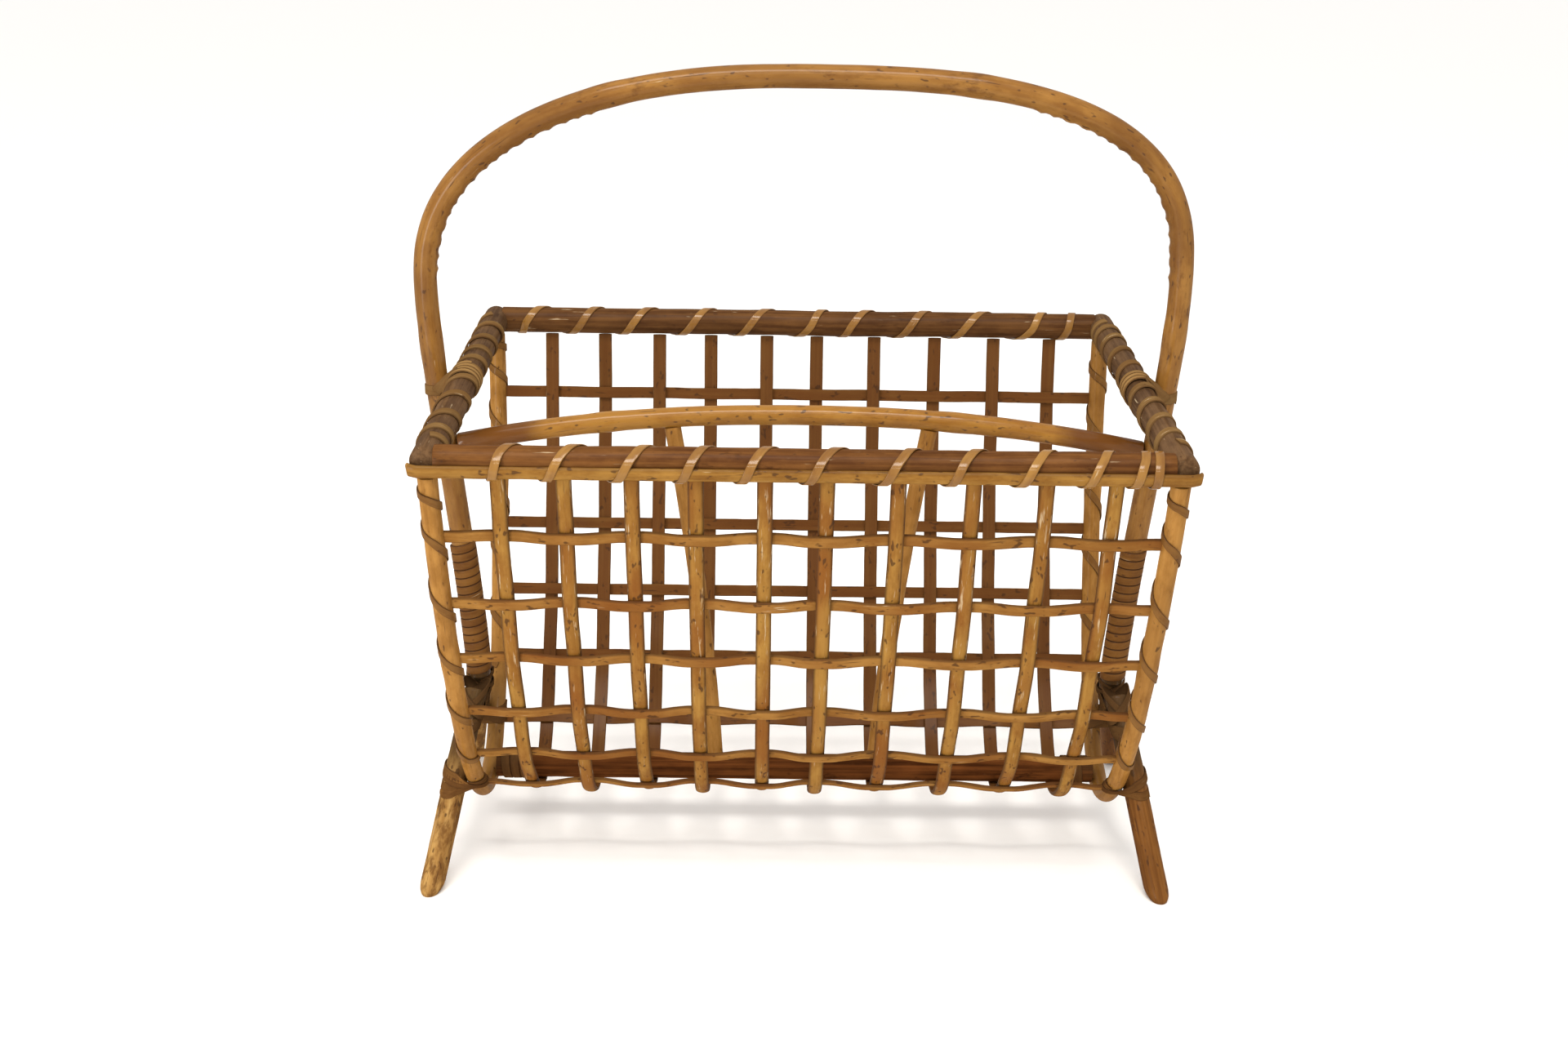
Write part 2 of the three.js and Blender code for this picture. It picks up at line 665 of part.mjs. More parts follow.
// A level lashing goes round a leg and the end frame where they cross.
function makeLegTie(name, side, panelSide) {
  const { crossing, direction } = legLine(side, panelSide);
  const inner = endPlaceAt(legCrossingDrop()) - frameRadius;
  const outer = Math.abs(crossing.x) + legRadius;
  const middle = new THREE.Vector3((side * (inner + outer)) / 2, crossing.y, crossing.z);
  const reach = new THREE.Vector3(0, 0, (legTieTurns * legTiePitch) / 2);
  winding(name, agedCane, {
    curve: new THREE.LineCurve3(middle.clone().sub(reach), middle.clone().add(reach)),
    turns: legTieTurns,
    turnSteps: railTurnSteps,
    out: new THREE.Vector3(side, 0, 0),
    outHalf: windingHalf((outer - inner) / 2 + legTieInset(), railTurnSteps),
    sideHalf: windingHalf((legTieWidthShare * legRadius) / direction.z, railTurnSteps),
    width: wrapCaneWidth,
    drift: (-side * panelSide * Math.abs(direction.y)) / direction.z,
  });
}

// A level lashing holds the heads of the two legs at one end together.
function makeHeadLashing(name, side) {
  const { head, direction } = legLine(side, -1);
  const height = head.z - headLashingDepth;
  const back = (height - head.z) / direction.z;
  const place = head.clone().addScaledVector(direction, back);
  const reach = (headLashingTurns * headLashingPitch) / 2;
  const lowest = Math.abs(place.y) + (reach * Math.abs(direction.y)) / direction.z + legRadius / direction.z;
  const start = new THREE.Vector3(place.x, 0, height - reach);
  const end = new THREE.Vector3(place.x, 0, height + reach);
  winding(`${name}_leg_head_lashing`, agedCane, {
    curve: new THREE.LineCurve3(start, end),
    turns: headLashingTurns,
    turnSteps: railTurnSteps,
    out: new THREE.Vector3(0, 1, 0),
    outHalf: windingHalf(headLashingReachShare * lowest, railTurnSteps),
    sideHalf: windingHalf(headLashingWidthShare * legRadius, railTurnSteps),
    width: wrapCaneWidth,
  });
}

// Slanting turns bind each rail along its whole length, and the strip of the long rails with it.
function makeRimLashings() {
  const stripReach = stripThickness + 2 * clearance;
  for (const [name, side] of [["front", -1], ["back", 1]]) {
    const half = rimLength / 2 - railRadius - rimCaneWidth;
    const y = (side * rimDepth) / 2;
    const start = new THREE.Vector3(-side * half, y, rimHeight);
    const end = new THREE.Vector3(side * half, y, rimHeight);
    winding(`${name}_rim_lashing`, brightCane, {
      curve: new THREE.LineCurve3(start, end),
      turns: longRimTurns,
      turnSteps: railTurnSteps,
      out: new THREE.Vector3(0, side, 0),
      outHalf: windingHalf(railRadius, railTurnSteps),
      width: rimCaneWidth,
      hand: -1,
      startTurn: stripTurn / (2 * Math.PI),
      bulge: (angle) => {
        const turned = Math.atan2(Math.sin(angle - stripTurn), Math.cos(angle - stripTurn));
        const near = Math.min(Math.abs(turned) / stripSpread, 1);
        return stripReach * Math.cos((near * Math.PI) / 2) ** 2;
      },
    });
  }
  for (const [name, side] of [["left", -1], ["right", 1]]) {
    const half = rimDepth / 2 - frameRadius - rimCaneWidth - railOverhang;
    const x = (side * rimLength) / 2;
    const start = new THREE.Vector3(x, -half, rimHeight);
    const end = new THREE.Vector3(x, half, rimHeight);
    winding(`${name}_rim_lashing`, brightCane, {
      curve: new THREE.LineCurve3(start, end),
      turns: endRimTurns,
      turnSteps: railTurnSteps,
      out: new THREE.Vector3(side, 0, 0),
      outHalf: windingHalf(railRadius, railTurnSteps),
      width: rimCaneWidth,
    });
  }
}

const legHead = legLine(1, -1);
const headTop = legHead.head.z + legRadius * Math.abs(legHead.direction.y);
const handleFootHeight = headTop + 3 * clearance;

makeRails();
makeRimLashings();
makeEndFrames();
makeKeel();
makeHandle(handleFootHeight);
makeDivider(handleFootHeight);
makeStakes();
makeWeavers();
makeLegs();

export default basket;
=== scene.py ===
# %% [markdown]
# # A rattan magazine basket
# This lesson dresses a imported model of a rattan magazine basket. The real one is made of poles of
# rattan, a climbing palm, and of cane split from the same stems. No glue line shows, and every joint
# is bound with cane. We load the plain model as a fixed frame, and build each pole, strip and lashing
# again in its place, with the fine shape and the finish that the plain one lacks.

# %% Load the frame
import math
import random

import bpy
from mathutils import Matrix, Vector


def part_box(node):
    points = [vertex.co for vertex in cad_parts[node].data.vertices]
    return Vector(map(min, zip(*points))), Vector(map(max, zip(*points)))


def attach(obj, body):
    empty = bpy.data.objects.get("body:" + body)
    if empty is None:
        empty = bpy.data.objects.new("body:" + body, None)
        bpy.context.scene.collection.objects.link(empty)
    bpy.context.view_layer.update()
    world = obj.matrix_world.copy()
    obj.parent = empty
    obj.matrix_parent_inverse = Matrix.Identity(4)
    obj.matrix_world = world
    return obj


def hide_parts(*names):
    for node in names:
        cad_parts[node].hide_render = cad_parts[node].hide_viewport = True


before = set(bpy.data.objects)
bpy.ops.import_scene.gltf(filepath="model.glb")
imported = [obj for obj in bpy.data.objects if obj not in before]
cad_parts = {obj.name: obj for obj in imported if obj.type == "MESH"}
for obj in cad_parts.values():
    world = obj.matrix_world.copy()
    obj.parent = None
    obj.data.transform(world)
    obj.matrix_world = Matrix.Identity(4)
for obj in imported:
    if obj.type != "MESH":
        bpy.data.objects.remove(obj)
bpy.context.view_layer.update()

MM = 0.001

# %% [markdown]
# ## The camera
# The camera stands a little over a metre in front of the basket and looks down on it. Its place and
# tilt were found by matching the rim's four corners in the photograph, so they are kept as they are.

# %% Set up the camera
EYE = Vector((-0.0206, -1.1165, 0.6382))
TILT, YAW, ROLL = math.radians(21.09), math.radians(0.58), math.radians(-0.89)
LENS, SENSOR = 45, 36
ahead = Vector((math.sin(YAW) * math.cos(TILT), math.cos(YAW) * math.cos(TILT), -math.sin(TILT)))
level = Vector((math.cos(YAW), -math.sin(YAW), 0))
down = ahead.cross(level)
right = math.cos(ROLL) * level + math.sin(ROLL) * down
below = -math.sin(ROLL) * level + math.cos(ROLL) * down
lens = bpy.data.cameras.new("camera")
lens.lens, lens.sensor_width, lens.clip_start, lens.clip_end = LENS, SENSOR, 0.01, 100
camera = bpy.data.objects.new("camera", lens)
bpy.context.scene.collection.objects.link(camera)
camera.matrix_world = Matrix.Translation(EYE) @ Matrix((right, -below, -ahead)).transposed().to_4x4()
bpy.context.scene.camera = camera
bpy.context.scene.view_settings.view_transform = "Standard"
print("camera at", [round(c, 3) for c in camera.matrix_world.translation])

# %% [markdown]
# ## Floor and light
# The basket was photographed on a white sweep that is lit until it burns out. A large pale floor, a
# white sky and three soft lamps do the same. The widest hangs above and in front. A long thin one
# above the camera is mirrored by the turns of cane and the tops of the poles, and a tall narrow one
# at the left draws thin streaks down the upright poles.

# %% Make the floor and the light
FLOOR_WIDTH, FLOOR_COLOUR, FLOOR_ROUGHNESS = 40, (0.93, 0.92, 0.905, 1), 0.8
SKY_COLOUR, SKY_STRENGTH = (1.0, 0.99, 0.975, 1), 1.06
BASKET_MIDDLE = Vector((0, 0, 0.2))
LAMPS = {  # place, width, height, watts and colour
    "key_lamp": ((-0.1, -0.75, 1.95), 1.3, 0.45, 26, (1.0, 0.97, 0.92)),
    "front_lamp": ((0.0, -1.35, 1.55), 1.1, 0.08, 4, (1.0, 0.92, 0.76)),
    "strip_lamp": ((-0.95, -1.25, 0.4), 0.25, 0.8, 9, (1.0, 0.97, 0.92)),
}
for name in ("Cube", "Light", "Camera"):  # what Blender's own starting scene holds
    if name in bpy.data.objects:
        bpy.data.objects.remove(bpy.data.objects[name])

bpy.ops.object.select_all(action="DESELECT")
bpy.ops.mesh.primitive_plane_add(size=FLOOR_WIDTH, location=(0, 0, 0))
floor = bpy.context.object
floor.name = "floor"
floor_white = bpy.data.materials.new("floor_white")
floor_white.use_nodes = True
floor_shader = floor_white.node_tree.nodes["Principled BSDF"].inputs
floor_shader["Base Color"].default_value = FLOOR_COLOUR
floor_shader["Roughness"].default_value = FLOOR_ROUGHNESS
floor.data.materials.append(floor_white)

sky = bpy.data.worlds.new("sky")
bpy.context.scene.world = sky
sky.use_nodes = True
sky.node_tree.nodes["Background"].inputs["Color"].default_value = SKY_COLOUR
sky.node_tree.nodes["Background"].inputs["Strength"].default_value = SKY_STRENGTH

for name, (place, width, height, watts, colour) in LAMPS.items():
    lamp = bpy.data.lights.new(name, "AREA")
    lamp.shape, lamp.size, lamp.size_y, lamp.energy, lamp.color = "RECTANGLE", width, height, watts, colour
    stand = bpy.data.objects.new(name, lamp)
    bpy.context.scene.collection.objects.link(stand)
    stand.location = place
    stand.rotation_euler = (BASKET_MIDDLE - Vector(place)).to_track_quat("-Z", "Y").to_euler()
print("lamps:", list(LAMPS))

# %% [markdown]
# ## One finish for every cane
# Rattan is a bundle of long fibres. The outside of the stem has a hard, glassy skin, and below it the
# fibres are matt and take up the stain. A picture could be laid over each piece, but its marks would
# stretch in the bends. So one node group, cane_surface, paints every piece from noise. It reads an
# attribute called straight, which each piece is given while it is still straight, so that the fibres
# follow every bend. Each material places the group with its own values.

# %% Start the cane_surface group
USUAL = {  # what a finish has unless it says otherwise
    "Edge": 0.0, "Fibre Scale": 420, "Fibres": 0.3, "Fibre Depth": 0.4, "Patch Scale": 90, "Patches": 0.4,
    "Tints": 0.3, "Specks": 0.3, "Grime": 0.0, "Dark Ends": 0.0, "Scuffs": 0.3, "Smooth": 0.3, "Worn": 0.55,
}
cane_surface = bpy.data.node_groups.new("cane_surface", "ShaderNodeTree")
for in_out, kind, names in (
    ("INPUT", "NodeSocketVector", ("Place",)), ("INPUT", "NodeSocketColor", ("Light", "Dark", "Stain", "Back")),
    ("INPUT", "NodeSocketFloat", ("Across", "Skin", *USUAL)), ("OUTPUT", "NodeSocketColor", ("Color",)),
    ("OUTPUT", "NodeSocketFloat", ("Roughness", "Height")),
):
    for name in names:
        cane_surface.interface.new_socket(name, in_out=in_out, socket_type=kind)
given = cane_surface.nodes.new("NodeGroupInput").outputs
result = cane_surface.nodes.new("NodeGroupOutput").inputs


def add_node(kind, values=(), tree=cane_surface, **settings):
    """A node with some settings. values fill its inputs, by number or by name, with constants or with
    the outputs of other nodes."""
    node = tree.nodes.new(kind)
    for name, value in settings.items():
        setattr(node, name, value)
    for key, value in dict(values).items():
        if isinstance(value, bpy.types.NodeSocket):
            tree.links.new(value, node.inputs[key])
        else:
            node.inputs[key].default_value = value
    return node


def sums(operation, first, second):
    """A sum of two numbers or outputs, with the operation named as Blender names it."""
    return add_node("ShaderNodeMath", {0: first, 1: second}, operation=operation).outputs[0]


def times(first, second):
    return sums("MULTIPLY", first, second)


def plus(first, second):
    return sums("ADD", first, second)


def minus(first, second):
    return sums("SUBTRACT", first, second)


def vector_sum(operation, first, second=(0, 0, 0)):
    return add_node("ShaderNodeVectorMath", {0: first, 1: second}, operation=operation).outputs


def fibrous(along, scale, detail, roughness=0.55):
    """Noise on the straight piece. The smaller along is, the more it is drawn out along the fibres."""
    place = vector_sum("MULTIPLY", given["Place"], (1, 1, along))[0]
    values = {"Vector": place, "Scale": scale, "Detail": detail, "Roughness": roughness}
    return add_node("ShaderNodeTexNoise", values).outputs["Fac"]


def ramp(value, low, high, to_low=0.0, to_high=1.0):
    """Turns a range of values smoothly into another one."""
    values = {"Value": value, "From Min": low, "From Max": high, "To Min": to_low, "To Max": to_high}
    return add_node("ShaderNodeMapRange", values, interpolation_type="SMOOTHSTEP").outputs["Result"]


def spots(pattern, rarest, amount, share, width):
    """A mask of the peaks of a noise. The larger the amount, the lower they begin."""
    edge = minus(rarest, times(amount, share))
    return ramp(pattern, edge, plus(edge, width))


print("cane_surface has", len(given) - 1, "inputs")

# %% [markdown]
# ## The masks of the finish
# A mask is a number from 0 to 1 that says where a mark is. Most of these are peaks of noise that is
# drawn out along the cane: patches where the varnish has yellowed or worn through, fine dark specks,
# long scratches, and pale scuffs, partly worn by hands and magazines and partly painted glints, with
# more of both high up. Others depend on the place on the basket, folded so that its four quarters
# count as one: painted shade at the ends of the divider, where they run in under the end rails, and a
# darkening round the corner by the legs' heads.

# %% Make the masks
# where the finish is made darker: round the corner by the legs' heads
CORNER_DARK_PLACE, CORNER_DARK_REACH = (0.2, 0, 0.078), (1.0, 0.75, 1.0)

fibres = fibrous(0.025, given["Fibre Scale"], 4, 0.62)
patches = times(spots(fibrous(0.4, given["Patch Scale"], 5, 0.68), 0.7, given["Patches"], 0.32, 0.16), 0.85)
specks = spots(fibrous(0.45, 360.0, 1), 0.76, given["Specks"], 0.14, 0.09)
scratches = spots(fibrous(0.06, 640.0, 2), 0.78, given["Specks"], 0.14, 0.1)
marks = times(sums("MAXIMUM", specks, scratches), 0.75)
folded = vector_sum("ABSOLUTE", add_node("ShaderNodeTexCoord").outputs["Object"])[0]
folded_parts = add_node("ShaderNodeSeparateXYZ", {0: folded}).outputs
# the pale scuffs grow towards the top: partly wear and partly painted glints
rubbed_and_glinting = ramp(folded_parts["Z"], 0.06, 0.22, 0.3, 0.75)
scuffs = times(spots(fibrous(0.09, 520.0, 3, 0.6), 0.74, given["Scuffs"], 0.16, 0.1), rubbed_and_glinting)
# painted shade, with some dark stain, along the edges of each strip and turn of cane, where shadow lines fall
edge_shade_and_stain = times(ramp(given["Across"], 0.55, 0.98), given["Edge"])
# painted shade at the ends of the divider, where they run in under the end rails
dark_ends = times(ramp(folded_parts["X"], 0.148, 0.168), given["Dark Ends"])
apart = vector_sum("MULTIPLY", vector_sum("SUBTRACT", folded, CORNER_DARK_PLACE)[0], CORNER_DARK_REACH)[0]
# darker round the corner by the legs' heads, on every finish that has some of it
grime = times(ramp(vector_sum("LENGTH", apart)["Value"], 0.028, 0.052, 1.0, 0.0), given["Grime"])
back = ramp(given["Skin"], 0.04, 0.2, 1.0, 0.0)
print("masks made:", len(cane_surface.nodes), "nodes so far")

# %% [markdown]
# ## Colour, roughness and height
# The base goes from the dark colour to the light one by the fibres and by slow clouds, and whole
# lengths have taken more of the stain. The masks then lay one colour after another over it, as the
# real marks came one after another, and add painted shade along the edges and at the divider's ends
# and painted glints among the pale scuffs. Bare and worn parts are rougher, and marks are slightly sunk.

# %% Finish the group
# The speck colour also paints the shade along the edges.
SPECK_AND_EDGE_SHADE_COLOUR, CORNER_DARK_COLOUR, SCUFF_AND_GLINT_COLOUR = (0.05, 0.022, 0.01, 1), (0.06, 0.033, 0.014, 1), (0.5, 0.38, 0.23, 1)


def blend_colours(amount, first, second):
    return add_node("ShaderNodeMix", {0: amount, 6: first, 7: second}, data_type="RGBA").outputs[2]


clouds = plus(times(fibrous(0.4, 130.0, 4, 0.62), 0.62), times(fibrous(0.3, 14.0, 1), 0.38))
fibre_part = times(ramp(fibres, 0.36, 0.64), given["Fibres"])
cloud_part = times(ramp(clouds, 0.4, 0.6), minus(1.0, given["Fibres"]))
colour = blend_colours(plus(fibre_part, cloud_part), given["Dark"], given["Light"])
for amount, laid_over in (
    (times(ramp(fibrous(0.5, 17.0, 2), 0.42, 0.62), given["Tints"]), given["Stain"]),
    (patches, given["Stain"]),
    (times(back, 0.75), given["Back"]),
    (times(back, ramp(fibres, 0.4, 0.65, 0.5, 0.0)), given["Stain"]),
    (edge_shade_and_stain, SPECK_AND_EDGE_SHADE_COLOUR),
    # pale scuffs, partly wear and partly painted glints
    (times(scuffs, minus(1.0, back)), SCUFF_AND_GLINT_COLOUR),
    (marks, SPECK_AND_EDGE_SHADE_COLOUR),
    (dark_ends, given["Stain"]),
    (grime, CORNER_DARK_COLOUR),
):
    colour = blend_colours(amount, colour, laid_over)
dull = sums("MAXIMUM", plus(times(patches, 0.6), times(fibres, 0.4)), back)
roughness = plus(given["Smooth"], times(dull, minus(given["Worn"], given["Smooth"])))
height = minus(times(fibres, given["Fibre Depth"]), times(marks, 0.3))
for name, output in (("Color", colour), ("Roughness", roughness), ("Height", height)):
    cane_surface.links.new(output, result[name])
print("cane_surface:", len(cane_surface.nodes), "nodes")

# %% [markdown]
# ## The finishes
# The poles that were left in their skin are honey coloured and satin. The rails and the keel are
# poles without skin, stained brown and nearly matt. The stakes and weavers are split cane, with the
# skin on one side. The rim's lashings are thin, bright and smooth, and what is near the floor is
# darker. A white floor mirrors white in every edge, so the gloss comes from a thin coat alone.

# %% Make the materials
BRIGHT_LIGHT = (1.7, 1.75, 2.1)  # how much the light brightens what it falls on, in red, green and blue
WARM = (1.0, 0.78, 0.5, 1)
BUMP_DISTANCE = 0.5 * MM
STORED = {"Place": ("straight", "Vector"), "Across": ("across", "Fac"), "Skin": ("skin", "Fac")}


def seen(colour):
    """The linear base colour of a finish that is to look like a screen colour under this bright light."""
    linear = (((part / 255 + 0.055) / 1.055) ** 2.4 for part in colour)
    return (*(part / light for part, light in zip(linear, BRIGHT_LIGHT)), 1)


def cane_finish(name, light, dark, stain, back=None, coat=0.0, coat_roughness=0.18, bump=0.3, **values):
    """A material of the basket: the cane_surface group with its own values."""
    material = bpy.data.materials.new(name)
    material.use_nodes = True
    tree = material.node_tree
    inputs = {key: values.get(key.lower().replace(" ", "_"), usual) for key, usual in USUAL.items()}
    for socket, (attribute, output) in STORED.items():
        inputs[socket] = add_node("ShaderNodeAttribute", tree=tree, attribute_name=attribute).outputs[output]
    inputs.update({"Light": seen(light), "Dark": seen(dark), "Stain": seen(stain), "Back": seen(back or stain)})
    painted = add_node("ShaderNodeGroup", inputs, tree, node_tree=cane_surface).outputs
    bumps = {"Strength": bump, "Distance": BUMP_DISTANCE, "Height": painted["Height"]}
    relief = add_node("ShaderNodeBump", bumps, tree).outputs
    shader = tree.nodes["Principled BSDF"].inputs
    tree.links.new(painted["Color"], shader["Base Color"])
    tree.links.new(painted["Roughness"], shader["Roughness"])
    tree.links.new(relief["Normal"], shader["Normal"])
    shader["Specular IOR Level"].default_value = 0.0
    shader["Specular Tint"].default_value = WARM
    shader["Coat Weight"].default_value = coat
    shader["Coat Roughness"].default_value = coat_roughness
    return material


STAINED = dict(coat=0.1, coat_roughness=0.35, fibres=0.6, fibre_scale=380, fibre_depth=0.8, specks=0.4, scuffs=0.5,
               smooth=0.4, worn=0.6)
GREYED = STAINED | dict(coat=0.08, fibres=0.55, specks=0.35, smooth=0.42, worn=0.65)
HOOP = cane_finish("hoop_pole", (178, 128, 67), (146, 98, 47), (110, 69, 32), (150, 118, 82), 0.3, 0.2, 0.15,
                   patches=0.45, tints=0.5, specks=0.8, scuffs=0.2, smooth=0.22, worn=0.5, grime=0.9)
HONEY = cane_finish("honey_pole", (206, 151, 84), (164, 113, 55), (118, 74, 34), (150, 118, 82), 0.14, bump=0.15,
                    patches=0.3, specks=0.65, scuffs=0.25, smooth=0.24, worn=0.5, grime=0.9)
# The divider's darker ends are painted shade.
ARCH = cane_finish("arch_pole", (192, 138, 64), (162, 108, 44), (118, 72, 36), coat=0.38, bump=0.12,
                   patches=0.15, specks=0.9, tints=0.1, smooth=0.2, worn=0.45, dark_ends=0.9)
RAIL = cane_finish("stained_rail", (142, 94, 52), (94, 56, 30), (70, 40, 22), **(STAINED | dict(scuffs=0.55)))
BACK_RAIL = cane_finish("dark_rail", (126, 86, 52), (84, 52, 30), (60, 36, 22), **STAINED)
END_RAIL = cane_finish("greyed_rail", (132, 100, 74), (88, 62, 44), (66, 45, 32), (140, 120, 98), **GREYED)
KEEL = cane_finish("keel_stain", (132, 78, 42), (70, 38, 20), (50, 28, 18), bump=0.6, fibres=0.75, fibre_scale=300,
                   fibre_depth=1.2, specks=0.25, scuffs=0.2, smooth=0.5, worn=0.7, grime=0.6)
STRIP = cane_finish("rim_strip_skin", (190, 142, 74), (148, 100, 44), (112, 72, 34), coat=0.12, bump=0.2,
                    edge=0.4, specks=0.9, scuffs=0.5, smooth=0.35)
STAKE = cane_finish("stake_skin", (196, 148, 78), (158, 108, 50), (148, 88, 40), (168, 108, 54), 0.1, 0.25, 0.2,
                    edge=0.75, patches=0.35, tints=0.75, specks=0.9, scuffs=0.8, worn=0.6)
WEAVER = cane_finish("weaver_skin", (206, 152, 86), (166, 114, 58), (146, 87, 42), (158, 100, 52), 0.03, bump=0.25,
                     edge=0.7, tints=0.75, specks=0.9, scuffs=0.4, smooth=0.38, worn=0.6)
LASHING = cane_finish("bright_lashing", (208, 154, 78), (172, 118, 52), (136, 88, 40), coat=0.55,
                      coat_roughness=0.15, bump=0.15, edge=0.5, smooth=0.2, worn=0.4)
POST_LASHING = cane_finish("post_cane", (196, 142, 76), (162, 110, 52), (128, 82, 38), coat=0.15, bump=0.15,
                           edge=0.8, specks=0.4, worn=0.5)
END_LASHING = cane_finish("pale_lashing", (204, 164, 112), (168, 126, 80), (118, 86, 54), edge=0.75, scuffs=0.5,
                          smooth=0.36)
WRAP = cane_finish("wrap_cane", (182, 126, 62), (140, 90, 42), (108, 68, 34), coat=0.1, bump=0.2,
                   edge=0.9, specks=0.5, smooth=0.34, worn=0.5)
AGED = cane_finish("aged_lashing", (164, 116, 66), (118, 78, 44), (86, 56, 34), edge=0.7, patches=0.5, specks=0.6,
                   smooth=0.45, worn=0.65, grime=0.6)
LEG = cane_finish("worn_leg", (222, 178, 116), (176, 130, 76), (124, 84, 48), coat=0.04, patch_scale=150,
                  patches=0.85, specks=1.0, scuffs=0.8, smooth=0.4, worn=0.65, grime=0.9)
RED_LEG = cane_finish("brown_leg", (156, 104, 54), (112, 69, 34), (84, 50, 25), coat=0.1, fibres=0.75,
                      fibre_scale=220, patches=0.3, specks=0.9, scuffs=0.4, smooth=0.36, worn=0.6, grime=0.9)
print("materials:", len([m for m in bpy.data.materials if m.node_tree and "Group" in m.node_tree.nodes]))

# %% [markdown]
# ## Choosing and editing
# Blender's operators act on all that is selected, as a hand acts on what it holds. So each step first
# picks its piece, and then its points or edges, by their place. A soft edit drags the neighbours of
# the chosen points along, less and less, which gives wood its rounded shapes.

# %% Make the editing helpers
def pick(first, *others):
    """Selects these pieces alone, and makes the first one active."""
    bpy.ops.object.select_all(action="DESELECT")
    for piece in (first, *others):
        piece.select_set(True)
    bpy.context.view_layer.objects.active = first


def start_edit(piece, kind="VERT"):
    """Enters edit mode on one piece alone, with nothing in it selected."""
    pick(piece)
    bpy.ops.object.mode_set(mode="EDIT")
    bpy.ops.mesh.select_mode(type=kind)
    bpy.ops.mesh.select_all(action="DESELECT")


def finish_edit():
    bpy.ops.object.mode_set(mode="OBJECT")


def edit_points(piece, holds):
    """Enters edit mode with the points selected whose places a test holds for."""
    start_edit(piece)
    finish_edit()
    for point in piece.data.vertices:
        point.select = holds(point.co)
    bpy.ops.object.mode_set(mode="EDIT")


def edit_edges(piece, holds):
    """Enters edit mode with the edges selected whose two ends' places a test holds for."""
    start_edit(piece, "EDGE")
    finish_edit()
    for edge in piece.data.edges:
        edge.select = holds(*(piece.data.vertices[i].co for i in edge.vertices))
    bpy.ops.object.mode_set(mode="EDIT")


def soft_edit(piece, holds, operator, reach, falloff="SMOOTH", **how):
    """Moves or resizes the chosen points of a piece, and those within reach of them less and less."""
    edit_points(piece, holds)
    operator(use_proportional_edit=True, proportional_edit_falloff=falloff, proportional_size=reach, **how)
    finish_edit()


def apply_place(piece, matrix=None):
    """Puts the object's place, or a given one, into its mesh."""
    pick(piece)
    if matrix is not None:
        piece.matrix_world = matrix
    bpy.ops.object.transform_apply(location=True, rotation=True, scale=True)


def apply_modifier(piece, kind, **settings):
    """Adds a modifier, sets it up, and makes its result the piece's own mesh."""
    pick(piece)
    modifier = piece.modifiers.new("shape", kind)
    for name, value in settings.items():
        setattr(modifier, name, value)
    bpy.ops.object.modifier_apply(modifier=modifier.name)


print("editing helpers ready")

# %% [markdown]
# ## Straight stock
# A basket maker starts from straight stock and bends it, and so do we. A pole is a cylinder, and a
# strip of cane is a cylinder that is flattened and split, with a flat back. All lie along X, and
# their long edges are subdivided so that they can bend. Before any bending, each point's straight
# place is stored, across in x and y and lengthwise in z, for the fibres to follow.

# %% Make poles and strips
DRESSED = "_dressed"  # ends the name of each new piece, after the name of the node that it replaces
BACK_SHARE = 0.3  # how much of a strip's thickness lies behind its widest line
MOST_CUTS = 100
HAIR = 0.01 * MM


def cut_rings(piece, length, spacing):
    """Subdivides the long edges of straight stock, so that its rings lie about a spacing apart."""
    wanted = max(1, round(length / spacing))
    while wanted > 1:
        cuts = min(MOST_CUTS, wanted - 1)
        points = piece.data.vertices
        longest = max(abs(points[a].co.x - points[b].co.x) for a, b in (e.vertices for e in piece.data.edges))
        edit_edges(piece, lambda first, second: abs(first.x - second.x) > longest / 2)
        bpy.ops.mesh.subdivide(number_cuts=cuts)
        finish_edit()
        wanted = round(wanted / (cuts + 1))


def name_stock(name, matrix=None):
    """Names what was just added, and puts its place into its mesh."""
    piece = bpy.context.object
    piece.name = piece.data.name = name + DRESSED
    apply_place(piece, matrix)
    return piece


def round_stock(name, length, radius, sides):
    bpy.ops.object.select_all(action="DESELECT")
    bpy.ops.mesh.primitive_cylinder_add(vertices=sides, radius=radius, depth=length, end_fill_type="NGON",
                                        location=(length / 2, 0, 0), rotation=(0, math.pi / 2, 0))
    return name_stock(name)


def straight_pole(name, length, radius, sides=24, spacing=3 * MM, end_round=0.6 * MM):
    """A round pole along X from the origin, with slightly rounded sawn ends."""
    pole = round_stock(name, length, radius, sides)
    edit_edges(pole, lambda first, second: abs(first.x - second.x) < length / 2)
    bpy.ops.mesh.bevel(offset=end_round, segments=2)
    finish_edit()
    cut_rings(pole, length, spacing)
    return pole


def straight_strip(name, length, width, thickness, sides):
    """A split cane along X from the origin: thickness along Y, width along Z, its round skin towards
    minus Y and its flat back towards plus Y."""
    strip = round_stock(name, length, 1, sides)
    back = BACK_SHARE * thickness
    start_edit(strip)
    bpy.ops.mesh.select_all(action="SELECT")
    bpy.ops.transform.resize(value=(1, thickness - back, width / 2), center_override=(0, 0, 0))
    bpy.ops.mesh.bisect(plane_co=(0, back, 0), plane_no=(0, -1, 0), use_fill=True, clear_inner=True)
    bpy.ops.mesh.select_all(action="SELECT")
    bpy.ops.transform.translate(value=(0, thickness / 2 - back, 0))
    finish_edit()
    cut_rings(strip, length, 3 * MM)
    return strip


